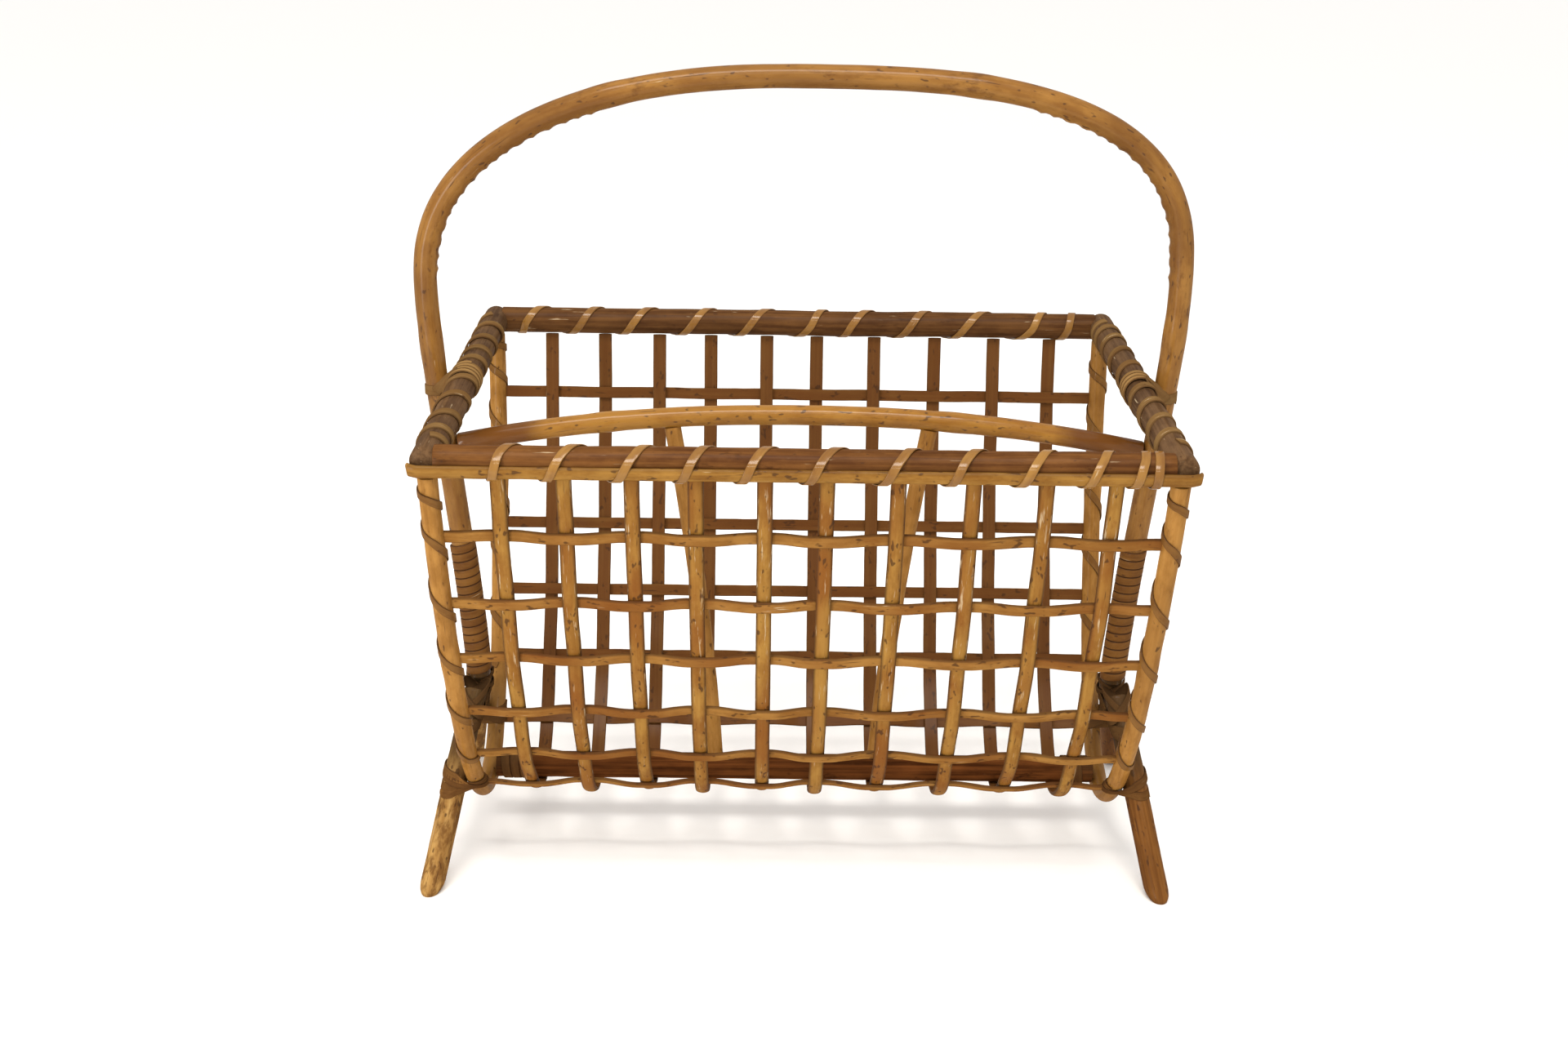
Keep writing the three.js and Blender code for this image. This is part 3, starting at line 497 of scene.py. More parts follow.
def flat_strip(name, length, width, thickness, crown=1, spacing=2 * MM):
    """A flat cane along X from the origin, with a level skin whose long edges are rounded, towards plus
    Y if crown is 1 and minus Y if it is -1."""
    bpy.ops.object.select_all(action="DESELECT")
    bpy.ops.mesh.primitive_cube_add(size=1)
    size = Matrix.Diagonal((length, thickness, width, 1))
    strip = name_stock(name, Matrix.Translation((length / 2, 0, 0)) @ size)
    for side, share, steps in ((crown, 0.55, 3), (-crown, 0.2, 1)):
        edit_edges(strip, lambda first, second: abs(first.x - second.x) > length / 2
                   and side * first.y > 0.49 * thickness)
        bpy.ops.mesh.bevel(offset=share * thickness, segments=steps)
        finish_edit()
    cut_rings(strip, length, spacing)
    return strip


def store(piece, name, kind, values):
    """Gives each point of a piece a value to keep."""
    kept = piece.data.attributes.new(name, kind, "POINT")
    kept.data.foreach_set("vector" if kind == "FLOAT_VECTOR" else "value", values)


def keep_straight_place(piece, start=0.0, crown=0):
    """Stores what the finish reads: each point's place on the straight piece, how far it is from the
    middle of its width, and how near the skin. start is a length before the piece, so that two pieces
    of one finish don't show the same marks. A pole has skin all round but not on its sawn ends, and its
    crown is 0."""
    places = [point.co.copy() for point in piece.data.vertices]
    width = max(place.z for place in places)
    length = max(place.x for place in places)
    thickness = max(place.y for place in places) - min(place.y for place in places)
    if crown:
        depths = [crown * place.y / thickness + 0.5 for place in places]
    else:
        depths = [float(HAIR < place.x < length - HAIR) for place in places]
    store(piece, "straight", "FLOAT_VECTOR", [c for place in places for c in (place.z, place.y, place.x + start)])
    store(piece, "across", "FLOAT", [abs(place.z) / width if crown else 0.0 for place in places])
    store(piece, "skin", "FLOAT", depths)


print("stock: poles, split strips and flat strips")

# %% [markdown]
# ## Bending
# A guide is a line of many short steps. A Curve modifier lays the straight piece along it, and the
# Z-up setting keeps a strip's width pointing along the guide's own Z axis all the way, as a flat cane
# lies on the pole that it goes round. The modifier is applied and the guide is thrown away.

# %% Make the bending helpers
SMOOTH_ANGLE = math.radians(40)
TURN_AXES = Matrix(((0, 0, 1, 0), (1, 0, 0, 0), (0, 1, 0, 0), (0, 0, 0, 1)))  # x, y, z become Y, Z, X
STAND_UP = Matrix(((1, 0, 0, 0), (0, 0, -1, 0), (0, 1, 0, 0), (0, 0, 0, 1)))  # y becomes Z
SIDES = {"front": -1, "back": 1, "left": -1, "right": 1}
pieces_made = []


def bend_along(piece, points):
    """Lays a straight piece along a line of points."""
    line = bpy.data.curves.new("guide", "CURVE")
    line.dimensions, line.twist_mode = "3D", "Z_UP"
    steps = line.splines.new("POLY")
    steps.points.add(len(points) - 1)
    for step, point in zip(steps.points, points):
        step.co = (*point, 1)
    guide = bpy.data.objects.new("guide", line)
    bpy.context.scene.collection.objects.link(guide)
    apply_modifier(piece, "CURVE", object=guide, deform_axis="POS_X")
    bpy.data.objects.remove(guide)
    bpy.data.curves.remove(line)


def lengths_along(points):
    """The length of the line up to each of its points."""
    run = [0.0]
    for a, b in zip(points, points[1:]):
        run.append(run[-1] + math.dist(a, b))
    return run


def line_length(points):
    return lengths_along(points)[-1]


def gently(share):
    """0 to 1, leaving and arriving gently."""
    share = min(max(share, 0.0), 1.0)
    return share * share * (3 - 2 * share)


def between(marks, at, ease=lambda share: share):
    """The value at a place among (place, value) marks."""
    if at <= marks[0][0]:
        return marks[0][1]
    for (low, first), (high, second) in zip(marks, marks[1:]):
        if at <= high:
            return first + (second - first) * ease((at - low) / max(high - low, 1e-9))
    return marks[-1][1]


def roughen(piece, strength, size):
    """Slight unevenness: every piece of cane is a little thicker here and thinner there."""
    bumps = bpy.data.textures.new("bumps", "CLOUDS")
    bumps.noise_scale = size
    apply_modifier(piece, "DISPLACE", texture=bumps, strength=strength, mid_level=0.5, texture_coords="LOCAL")
    bpy.data.textures.remove(bumps)


def swell(piece, places, share):
    """Thickens a straight pole at its nodes, where leaves grew."""
    for place in places:
        soft_edit(piece, lambda co: abs(co.x - place) < 2 * MM, bpy.ops.transform.resize, 14 * MM,
                  value=(1, share, share), center_override=(place, 0, 0))


def settle(piece, material, place=None):
    """Finishes a piece: its place, smooth faces, material, the body it rides on, and the node it replaces."""
    if place is not None:
        apply_place(piece, place)
    pick(piece)
    bpy.ops.object.shade_smooth_by_angle(angle=SMOOTH_ANGLE)
    piece.data.materials.clear()
    piece.data.materials.append(material)
    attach(piece, "root")
    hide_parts(piece.name.removesuffix(DRESSED))
    pieces_made.append(piece)
    return piece


def shape(piece, bumps, seed, line, place, material, crown=0):
    """Roughens straight stock, notes its straight place, bends it along a line and settles it in its place.
    bumps are their height and their size."""
    roughen(piece, *bumps)
    keep_straight_place(piece, seed, crown)
    if line:
        bend_along(piece, line)
    return settle(piece, material, place)


print("bending helpers ready")

# %% [markdown]
# ## The rails
# Four thick poles without skin make the rim. The end rails run right to the corners, where their
# sawn ends show, and the front and back rails butt between them. A plain cylinder would look
# machined, so each pole follows a guide that wanders by less than a millimetre.

# %% Make the rails
RIM_HEIGHT, RIM_HALF, RIM_DEPTH_HALF = 0.295, 0.2, 0.1405
RAIL_RADIUS, CLEARANCE, RAIL_OVERHANG = 0.00825, 0.0003, 0.0055
COPED = 4 * MM  # a real butting end is hollowed out round the end rail; here it reaches into it instead
STEP, WANDER, WAVE_LENGTH = 6 * MM, 0.5 * MM, 0.13
THICK_POLE = dict(sides=32, spacing=3 * MM)
THICK_BUMPS = (0.5 * MM, 0.02)


def straight_guide(length, seed):
    """A nearly straight line along X that drifts sideways in slow waves, and starts and ends on the axis."""
    chance = random.Random(seed)
    waves = [[(WAVE_LENGTH * chance.uniform(0.6, 1.6), chance.uniform(0, math.tau)) for _ in range(3)]
             for _ in range(2)]
    count = max(2, round(length / STEP))
    points = []
    for i in range(count + 1):
        at = length * i / count
        ease = min(1.0, 4 * min(i, count - i) / count)
        drifts = (WANDER * sum(math.sin(math.tau * at / size + phase) for size, phase in wave) / 3 for wave in waves)
        points.append((at, *(ease * drift for drift in drifts)))
    return points


def lay(start, along, up=(0, 0, 1)):
    """The matrix that lays a piece made along X from a start, with its local Z turned to up."""
    along, up = Vector(along).normalized(), Vector(up)
    up = (up - along * up.dot(along)).normalized()
    turned = Matrix((along, up.cross(along), up)).transposed().to_4x4()
    return Matrix.Translation(Vector(start)) @ turned


def make_rail(name, start, end, seed, material, end_round):
    start, end = Vector(start), Vector(end)
    length = (end - start).length
    rail = straight_pole(name, length, RAIL_RADIUS, end_round=end_round, **THICK_POLE)
    shape(rail, THICK_BUMPS, seed, straight_guide(length, seed), lay(start, end - start), material)


butt = RIM_HALF - RAIL_RADIUS - CLEARANCE
overhang = RIM_DEPTH_HALF + RAIL_OVERHANG
for panel, finish in (("front", RAIL), ("back", BACK_RAIL)):
    y = SIDES[panel] * RIM_DEPTH_HALF
    ends = [(share * (butt + COPED), y, RIM_HEIGHT) for share in (-1, 1)]
    make_rail(f"{panel}_top_rail", *ends, 1 + SIDES[panel], finish, 0.5 * MM)
for corner in ("left", "right"):
    x = SIDES[corner] * RIM_HALF
    ends = [(x, share * overhang, RIM_HEIGHT) for share in (-1, 1)]
    make_rail(f"{corner}_top_rail", *ends, 5 + SIDES[corner], END_RAIL, 2.4 * MM)
print("rails:", [p.name for p in pieces_made])

# %% [markdown]
# ## The strips along the rim
# A half-round strip of skin-side cane lies along the outer lower side of the front and back rails and
# covers the sawn ends of the end rails. Its ends are rounded off with a knife and curl inwards, which
# a guide with two short arcs gives it.

# %% Make the rim strips
STRIP_WIDTH, STRIP_THICKNESS, STRIP_TURN = 0.008, 0.0035, math.radians(24)
STRIP_CURL, STRIP_CURL_TURN = 0.0065, math.radians(72)
CURL_STEPS, STRIP_STEPS = 12, 60


def curled_guide(half):
    """A line along X from -half to half whose ends curl to the left of travel, as parts of a circle."""
    straight = half - STRIP_CURL
    turns = [STRIP_CURL_TURN * i / CURL_STEPS for i in range(CURL_STEPS + 1)]
    right_end = [(straight + STRIP_CURL * math.sin(turn), STRIP_CURL * (1 - math.cos(turn)), 0) for turn in turns]
    left_end = [(-x, y, z) for x, y, z in reversed(right_end)]
    middle = [(-straight + 2 * straight * i / STRIP_STEPS, 0, 0) for i in range(1, STRIP_STEPS)]
    return left_end + middle + right_end


line = curled_guide(RIM_HALF + RAIL_RADIUS + STRIP_THICKNESS / 2 + CLEARANCE)
length = line_length(line)
for panel in ("front", "back"):
    side = SIDES[panel]
    strip = straight_strip(f"{panel}_rim_strip", length, STRIP_WIDTH, STRIP_THICKNESS, 24)
    for end in (0, length):
        soft_edit(strip, lambda co: abs(co.x - end) < 0.1 * MM, bpy.ops.transform.resize, 4 * MM, "SPHERE",
                  value=(1, 0.5, 0.6), center_override=(end, STRIP_THICKNESS / 2, 0))
    out = Vector((0, side * math.cos(STRIP_TURN), -math.sin(STRIP_TURN)))
    axis = Vector((0, side * RIM_DEPTH_HALF, RIM_HEIGHT))
    along = Vector((-side, 0, 0))
    # The strip's plus Y looks inwards, so its width points along the cross of along and inwards.
    place = lay(axis + (RAIL_RADIUS + CLEARANCE + STRIP_THICKNESS / 2) * out, along, along.cross(-out))
    shape(strip, (0.4 * MM, 0.012), 11 + side, line, place, STRIP, crown=-1)
print("rim strips:", round(length / MM), "mm along their curled ends")

# %% [markdown]
# ## The trough's outline
# Seen from the end, the basket is a deep trough: its sides fall steeply from the rim and close in a
# round bottom. One formula gives half its depth at any drop below the rim. The end frames, the
# stakes and the weavers all take their places from it.

# %% Write the trough's outline
BASKET_DROP, SIDE_POWER, END_INSET = 0.265, 1.25, 0.004
TROUGH_STEPS = 220


def half_depth_at(drop):
    return RIM_DEPTH_HALF * math.sqrt(max(0.0, 1 - (drop / BASKET_DROP) ** SIDE_POWER))


def end_place_at(drop):
    return RIM_HALF - END_INSET * drop / BASKET_DROP


def angle_at(drop):
    return math.acos((drop / BASKET_DROP) ** (SIDE_POWER / 2))


def drop_at(angle):
    return BASKET_DROP * math.cos(angle) ** (2 / SIDE_POWER)


def trough_points(start_drop, place_at=lambda drop: 0):
    """Points from the front round the bottom to the back as (depth, height, place along the basket)."""
    reach = angle_at(start_drop)
    angles = [reach * (2 * i / TROUGH_STEPS - 1) for i in range(TROUGH_STEPS + 1)]
    return [(RIM_DEPTH_HALF * math.sin(a), RIM_HEIGHT - drop_at(a), place_at(drop_at(a))) for a in angles]


def length_at_drop(points, drop, panel):
    """The length along trough points at which they come down to a drop, or come up to it at the back."""
    marks = [(RIM_HEIGHT - height, run) for (_, height, _), run in zip(points, lengths_along(points))]
    return between(marks[::-1] if panel == "back" else marks, drop)


print("the trough's outline is", round(line_length(trough_points(0)) / MM), "mm long")

# %% [markdown]
# ## End frames
# At each end a thinner pole, still in its skin, is bent hot into a U and hung below the end rail. It
# is slightly thicker at its nodes. We swell the straight pole there, and then bend it.

# %% Make the end frames
FRAME_RADIUS, FRAME_TOP_GAP = 0.0055, 0.0011
FRAME_NODES = (0.21, 0.52, 0.84)
frame_points = {}
for corner in ("left", "right"):
    side = SIDES[corner]
    points = trough_points(RAIL_RADIUS + FRAME_TOP_GAP, lambda drop: side * end_place_at(drop))
    frame_points[corner] = points
    length = line_length(points)
    pole = straight_pole(f"{corner}_end_frame", length, FRAME_RADIUS, spacing=3.5 * MM)
    swell(pole, [share * length for share in FRAME_NODES], 1.07)
    shape(pole, (0.4 * MM, 0.02), 20 + side, points, TURN_AXES, HONEY)
print("end frames:", round(length / MM), "mm of pole each")

# %% [markdown]
# ## Winding cane
# Every joint is bound with a flat cane. We make the cane straight and bend it along a helix. Marks
# say where each turn lies, so the turns can be bunched or spread as the maker did, and a section
# function says how far out the cane runs at each angle, for ovals and for turns that climb over a
# strip. A cane wound round a bent pole is wound on a straight one first, and bent with it.

# %% Make the winding helpers
CANE_THICKNESS = 0.0008
SNUG = 0.1 * MM + CANE_THICKNESS / 2  # from a pole's side to the middle of the cane that is wound on it
TURN_STEPS, BELT_DOTS = 60, 48


def circle(radius):
    return lambda angle: (radius * math.cos(angle), radius * math.sin(angle))


def point_ends(piece, length, width):
    """Cuts both ends of a straight strip to a point."""
    for end in (0, length):
        soft_edit(piece, lambda co: abs(co.x - end) < 0.1 * MM, bpy.ops.transform.resize, 1.6 * width, "LINEAR",
                  value=(1, 1, 0.1), center_override=(end, 0, 0))


def wind(name, marks, section, width, seed, hand=1, thickness=CANE_THICKNESS, pointed=False):
    """A flat cane wound round Z, its skin outwards. marks are (turns, place) pairs, and section gives x
    and y at an angle."""
    first, last = marks[0][0], marks[-1][0]
    count = round((last - first) * TURN_STEPS)
    turns = [first + (last - first) * i / count for i in range(count + 1)]
    points = [(*section(hand * math.tau * turn), between(marks, turn)) for turn in turns]
    length = line_length(points)
    cane = flat_strip(name, length, width, thickness, crown=-hand)
    if pointed:
        point_ends(cane, length, width)
    keep_straight_place(cane, seed, crown=-hand)
    bend_along(cane, points)
    return cane


def belt(*poles):
    """The section of a cane pulled tight round poles. Each pole is cut to an oval, and is given by its
    centre's two coordinates and its two half widths."""
    turns = [math.tau * i / BELT_DOTS for i in range(BELT_DOTS)]
    dots = sorted((x + across * math.cos(a), y + up * math.sin(a)) for x, y, across, up in poles for a in turns)

    def lower_side(points):
        side = []
        for x, y in points:
            while len(side) > 1:
                (x0, y0), (x1, y1) = side[-2:]
                if (x1 - x0) * (y - y0) > (y1 - y0) * (x - x0):
                    break
                side.pop()
            side.append((x, y))
        return side[:-1]

    tight = lower_side(dots) + lower_side(dots[::-1])
    start = tight.index(max(tight))
    tight = tight[start:] + tight[:start + 1]
    run = lengths_along(tight)
    across_marks, up_marks = ([(length, point[i]) for length, point in zip(run, tight)] for i in (0, 1))

    def section(angle):
        at = run[-1] * (angle / math.tau % 1.0)
        return between(across_marks, at), between(up_marks, at)

    return section


def join(first, *others):
    """Makes several pieces one, which keeps the first one's name."""
    pick(first, *others)
    bpy.ops.object.join()
    return first


def turns_at(places, extra=0.5, at_turn=0.0, spread=0.5):
    """Marks for turns that pass a chosen angle at given places, with a bit of cane before and after."""
    first = places[0] - spread * (places[1] - places[0])
    last = places[-1] + spread * (places[-1] - places[-2])
    marks = [(at_turn + i, place) for i, place in enumerate(places)]
    return [(at_turn - extra, first), *marks, (at_turn + len(places) - 1 + extra, last)]


def stand_along(axis, along, out):
    """The matrix that lays a helix made round Z along a pole, with its angle 0 turned to out."""
    along, out = Vector(along), Vector(out)
    return Matrix.Translation(Vector(axis)) @ Matrix((out, along.cross(out), along)).transposed().to_4x4()


print("winding helpers ready")

# %% [markdown]
# ## Lashings along the rim
# One long cane winds along each rail. On the long rails it also binds the half-round strip, so each
# turn bulges where it climbs over it. The turns are not even: the maker closed up at the corners and
# where the handle is tied on. A screw modifier would space them evenly, so we give each its place.

# %% Wind the rim lashings
LONG_CANE_WIDTH, END_CANE_WIDTH, END_CANE_THICKNESS = 0.0049, 0.0072, 0.0012
BULGE_TURN, BULGE_POWER = math.radians(68), 1.6
LONG_TURN_SHARES = {
    "front": [-0.85, -0.676, -0.475, -0.305, -0.134, 0.055, 0.269, 0.449, 0.65, 0.829, 0.945, 0.985],
    "back": [-0.95, -0.757, -0.579, -0.372, -0.172, 0.041, 0.18, 0.385, 0.577, 0.814, 0.937],
}
END_TURN_SHARES = {
    "left": [-0.9, -0.76, -0.52, -0.24, -0.02, 0.1, 0.26, 0.42, 0.63, 0.86],
    "right": [-0.86, -0.68, -0.46, -0.235, -0.035, 0.1, 0.33, 0.57, 0.78, 0.9],
}


def over_strip(angle):
    """The section of a long rail's lashing: round the rail, and out over the strip a little below its
    side. Angle 0 is straight out from the basket, and a quarter turn is down."""
    turned = abs(math.remainder(angle - STRIP_TURN, math.tau)) / BULGE_TURN
    bulge = (STRIP_THICKNESS + CLEARANCE) * math.cos(min(turned, 1.0) * math.pi / 2) ** BULGE_POWER
    return circle(RAIL_RADIUS + SNUG + bulge)(angle)


for panel, at_turn in (("front", 0.12), ("back", 0.5)):
    # Both helices start at the end from which their outer side is on the left, and turn left-handed.
    side = SIDES[panel]
    half = butt - LONG_CANE_WIDTH / 2
    places = sorted(-side * half * share for share in LONG_TURN_SHARES[panel])
    marks = turns_at(places, 0.6, at_turn, 0.3)
    marks = [(turn, min(max(place, -half), half)) for turn, place in marks]
    cane = wind(f"{panel}_rim_lashing", marks, over_strip, LONG_CANE_WIDTH, 30 + side, hand=-1)
    place = stand_along((0, side * RIM_DEPTH_HALF, RIM_HEIGHT), (-side, 0, 0), (0, side, 0))
    settle(cane, LASHING, place)
for corner, shares in END_TURN_SHARES.items():
    side = SIDES[corner]
    marks = turns_at([(RIM_DEPTH_HALF - RAIL_RADIUS) * share for share in shares], at_turn=0.25, spread=0.3)
    cane = wind(f"{corner}_rim_lashing", marks, circle(RAIL_RADIUS + 0.45 * MM), END_CANE_WIDTH, 34 + side,
                thickness=END_CANE_THICKNESS)
    settle(cane, END_LASHING, stand_along((side * RIM_HALF, 0, RIM_HEIGHT), (0, 1, 0), (1, 0, 0)))
print("rim lashings done")

# %% [markdown]
# ## Lashings down the end frames
# A cane spirals down each side of an end frame and takes one turn at every weaver, which it pins to
# the pole. At the top it takes an extra turn, which shows as a small knob below the strip. It is
# wound on a straight pole and bent with it, because a helix round a curve is hard to write down.

# %% Wind the post lashings
POST_CANE_WIDTH, KNOB_DROP = 0.0044, 0.021
WEAVER_DROPS = [share * BASKET_DROP for share in (0.177, 0.343, 0.493, 0.648, 0.794, 0.921)]
for corner, points in frame_points.items():
    for panel in ("front", "back"):
        places = sorted(length_at_drop(points, drop, panel) for drop in (KNOB_DROP, *WEAVER_DROPS[:-1]))
        cane = wind(f"{panel}_{corner}_post_lashing", turns_at(places, at_turn=0.5, spread=0.2),
                    circle(FRAME_RADIUS + SNUG), POST_CANE_WIDTH, line_length(points), hand=-1)
        apply_place(cane, TURN_AXES)
        bend_along(cane, points)
        settle(cane, POST_LASHING, TURN_AXES)
print("post lashings done")

# %% [markdown]
# ## The keel
# A thick stained pole lies along the bottom, inside the stakes, and keeps the trough's two ends
# apart. Without its skin it shows deep, dark fibres. It is made as the rails are, but it follows no
# guide and stays straight, because a bend in it would hardly show behind the weave.

# %% Make the keel
KEEL_RADIUS, STAKE_THICKNESS = 0.00825, 0.003
KEEL_DROP = BASKET_DROP - STAKE_THICKNESS / 2 - CLEARANCE - KEEL_RADIUS
keel_reach = end_place_at(KEEL_DROP) - FRAME_RADIUS - CLEARANCE
keel_height = RIM_HEIGHT - KEEL_DROP
keel = straight_pole("keel_pole", 2 * keel_reach, KEEL_RADIUS, **THICK_POLE)
shape(keel, THICK_BUMPS, 40, None, lay((-keel_reach, 0, keel_height), (1, 0, 0)), KEEL)
print("keel:", round(2 * keel_reach / MM), "mm")

# %% [markdown]
# ## The handle
# The handle is the longest pole of all. It is bent hot into a hoop, and on the inside of each bend
# the skin has folded into small ripples. Its line is a flattened arch above the shoulders and a long
# gentle curve from the shoulders down to the feet, past the outside of the end rails. A formula for
# each part gives smoother bends than points set by hand.

# %% Make the handle
HANDLE_RADIUS, HANDLE_RISE, SHOULDER_RISE = 0.00675, 0.1813, 0.06
HOOP_BULGE, HOOP_LEAN, FOOT_INSET = 0.003, 0.0005, 0.001
HOOP_POWER_LEFT, HOOP_POWER_RIGHT = 2.28, 2.85
HOOP_BEND_SHARES, HOOP_GUIDE_SHARE = (0.22, 0.64), 0.19
HOOP_SIDE_STEPS, HOOP_TOP_STEPS = 60, 160
HOOP_NODES = (0.2, 0.39, 0.585, 0.79)
RIPPLE_PITCH, RIPPLE_COUNT, RIPPLE_START, RIPPLE_DEPTH = 0.0092, 17, 0.008, 0.001
RAIL_CANE_REACH = (RAIL_RADIUS + CLEARANCE) / math.cos(math.pi / 10) + CANE_THICKNESS + 2 * CLEARANCE
shoulder_place = RIM_HALF + RAIL_CANE_REACH + HOOP_LEAN + HANDLE_RADIUS + HOOP_BULGE - 0.4 * MM
shoulder_height = RIM_HEIGHT + SHOULDER_RISE
foot_place = RIM_HALF - FOOT_INSET
foot_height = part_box("handle_hoop")[0].z


def bezier_line(controls, steps, side=1):
    """Points of a Bezier curve as (place, height, 0), by repeated mixing of its control points."""
    line = []
    for i in range(steps + 1):
        points = [Vector(c) for c in controls]
        while len(points) > 1:
            points = [a.lerp(b, i / steps) for a, b in zip(points, points[1:])]
        line.append((side * points[0].x, points[0].y, 0))
    return line


def hoop_side(side):
    """The hoop's side from its shoulder down to its foot."""
    fall = shoulder_height - foot_height
    guide_place = foot_place + HOOP_GUIDE_SHARE * (shoulder_place - foot_place)
    controls = [(shoulder_place, shoulder_height), (shoulder_place, shoulder_height - HOOP_BEND_SHARES[0] * fall),
                (guide_place, shoulder_height - HOOP_BEND_SHARES[1] * fall), (foot_place, foot_height)]
    return bezier_line(controls, HOOP_SIDE_STEPS, side)


def hoop_top():
    """The hoop from its left shoulder over the top to its right one."""
    line = []
    for i in range(1, HOOP_TOP_STEPS):
        angle = math.pi * (1 - i / HOOP_TOP_STEPS)
        power = HOOP_POWER_LEFT if math.cos(angle) < 0 else HOOP_POWER_RIGHT
        out = math.copysign(abs(math.cos(angle)) ** (2 / power), math.cos(angle))
        up = math.sin(angle) ** (2 / power)
        line.append((shoulder_place * out, shoulder_height + (HANDLE_RISE - SHOULDER_RISE) * up, 0))
    return line


hoop_line = hoop_side(-1)[::-1] + hoop_top() + hoop_side(1)
hoop_length = line_length(hoop_line)
side_length = line_length(hoop_side(1))
hoop = straight_pole("handle_hoop", hoop_length, HANDLE_RADIUS, sides=28, spacing=2.6 * MM, end_round=1.2 * MM)
swell(hoop, [share * hoop_length for share in HOOP_NODES], 1.05)
ripple_run = RIPPLE_START + RIPPLE_PITCH * (RIPPLE_COUNT - 1)
for start in (side_length + RIPPLE_START, hoop_length - side_length - ripple_run):
    for i in range(RIPPLE_COUNT):
        fold = start + RIPPLE_PITCH * (i + 0.12 * math.sin(5 * i))
        soft_edit(hoop, lambda co: abs(co.x - fold) < 1.6 * MM and -co.y > 0.8 * HANDLE_RADIUS,
                  bpy.ops.transform.translate, 4 * MM, value=(0, -RIPPLE_DEPTH, 0))
shape(hoop, (0.35 * MM, 0.025), 50, hoop_line, STAND_UP, HOOP)
print("handle:", round(hoop_length / MM), "mm of pole")

# %% [markdown]
# ## Wraps and ties of the handle
# Below the rim, close turns of cane cover the hoop's feet. Where the hoop passes the end rail, one
# turn goes round the hoop, three go round the rail, and two twisted strips cross from one to the
# other. One cane through all of them would need knots, so the tie is made of these parts, joined.

# %% Wind the handle's wraps and ties
WRAP_WIDTH, WRAP_PITCH, WRAP_TOP, WRAP_THICKNESS = 0.0052, 0.0056, 0.098, 0.0011
TIE_WIDTH, TIE_DROP, RAIL_TIE_WIDTH, RAIL_TIE_THICKNESS = 0.0062, 0.004, 0.0044, 0.0012
TIE_RADIUS, WRAP_GAP = RAIL_RADIUS + 1.1 * MM, 0.15 * MM
HOOP_TIE_MARKS, RAIL_TIE_MARKS = ((0, -1.6 * MM), (1.3, 1.4 * MM)), ((0, -9 * MM), (3.3, 9 * MM))
BRIDGE_START, BRIDGE_END_OUT, BRIDGE_END_DEPTH = HANDLE_RADIUS + 0.9 * MM, 3.5 * MM, 4.5 * MM
wrap_length = RIM_HEIGHT - WRAP_TOP - foot_height - WRAP_WIDTH
wrap_turns = wrap_length / WRAP_PITCH
tie_height = RIM_HEIGHT - TIE_DROP
tie_place = between(sorted((height, place) for place, height, _ in hoop_side(1)), tie_height)
for corner in ("left", "right"):
    side = SIDES[corner]
    line = hoop_side(side)
    whole = line_length(line)
    marks = [(0, whole - wrap_length), (wrap_turns, whole - WRAP_WIDTH / 2)]
    cane = wind(f"{corner}_handle_wrap", marks, circle(HANDLE_RADIUS + SNUG + WRAP_GAP), WRAP_WIDTH, 60 + side,
                thickness=WRAP_THICKNESS)
    apply_place(cane, TURN_AXES)
    bend_along(cane, line)
    settle(cane, WRAP, STAND_UP)

    name = f"{corner}_handle_tie"
    hoop_centre = Vector((side * tie_place, 0, tie_height))
    rail_centre = Vector((side * RIM_HALF, 0, RIM_HEIGHT))
    round_hoop = wind(name, HOOP_TIE_MARKS, circle(HANDLE_RADIUS + SNUG), TIE_WIDTH, 64 + side)
    apply_place(round_hoop, Matrix.Translation(hoop_centre))
    round_rail = wind(name, RAIL_TIE_MARKS, circle(TIE_RADIUS), RAIL_TIE_WIDTH, 67 + side,
                      thickness=RAIL_TIE_THICKNESS)
    apply_place(round_rail, stand_along(rail_centre, (0, 1, 0), (side, 0, 0)))
    bridges = []
    for number, (depth, up) in enumerate(((-1, 1), (1, -1))):
        start = hoop_centre + Vector((0, depth * BRIDGE_START, 0))
        end = rail_centre + Vector((side * BRIDGE_END_OUT, depth * BRIDGE_END_DEPTH, up * TIE_RADIUS))
        crown = -depth * side
        bridge = flat_strip(name, (end - start).length, TIE_WIDTH, CANE_THICKNESS, crown, spacing=1 * MM)
        keep_straight_place(bridge, 70 + number, crown)
        apply_modifier(bridge, "SIMPLE_DEFORM", deform_method="TWIST", deform_axis="X", angle=math.radians(side * 90))
        apply_place(bridge, lay(start, end - start))
        bridges.append(bridge)
    settle(join(round_hoop, round_rail, *bridges), END_LASHING)
print("wraps of", round(wrap_turns, 1), "turns")

# %% [markdown]
# ## The divider
# A lighter bowed pole runs from end to end below the rim and parts the basket in two. Two bent poles
# that stand on the keel hold it up. Each bends one way only, so a short formula draws the arch's line
# and three control points draw a strut's.

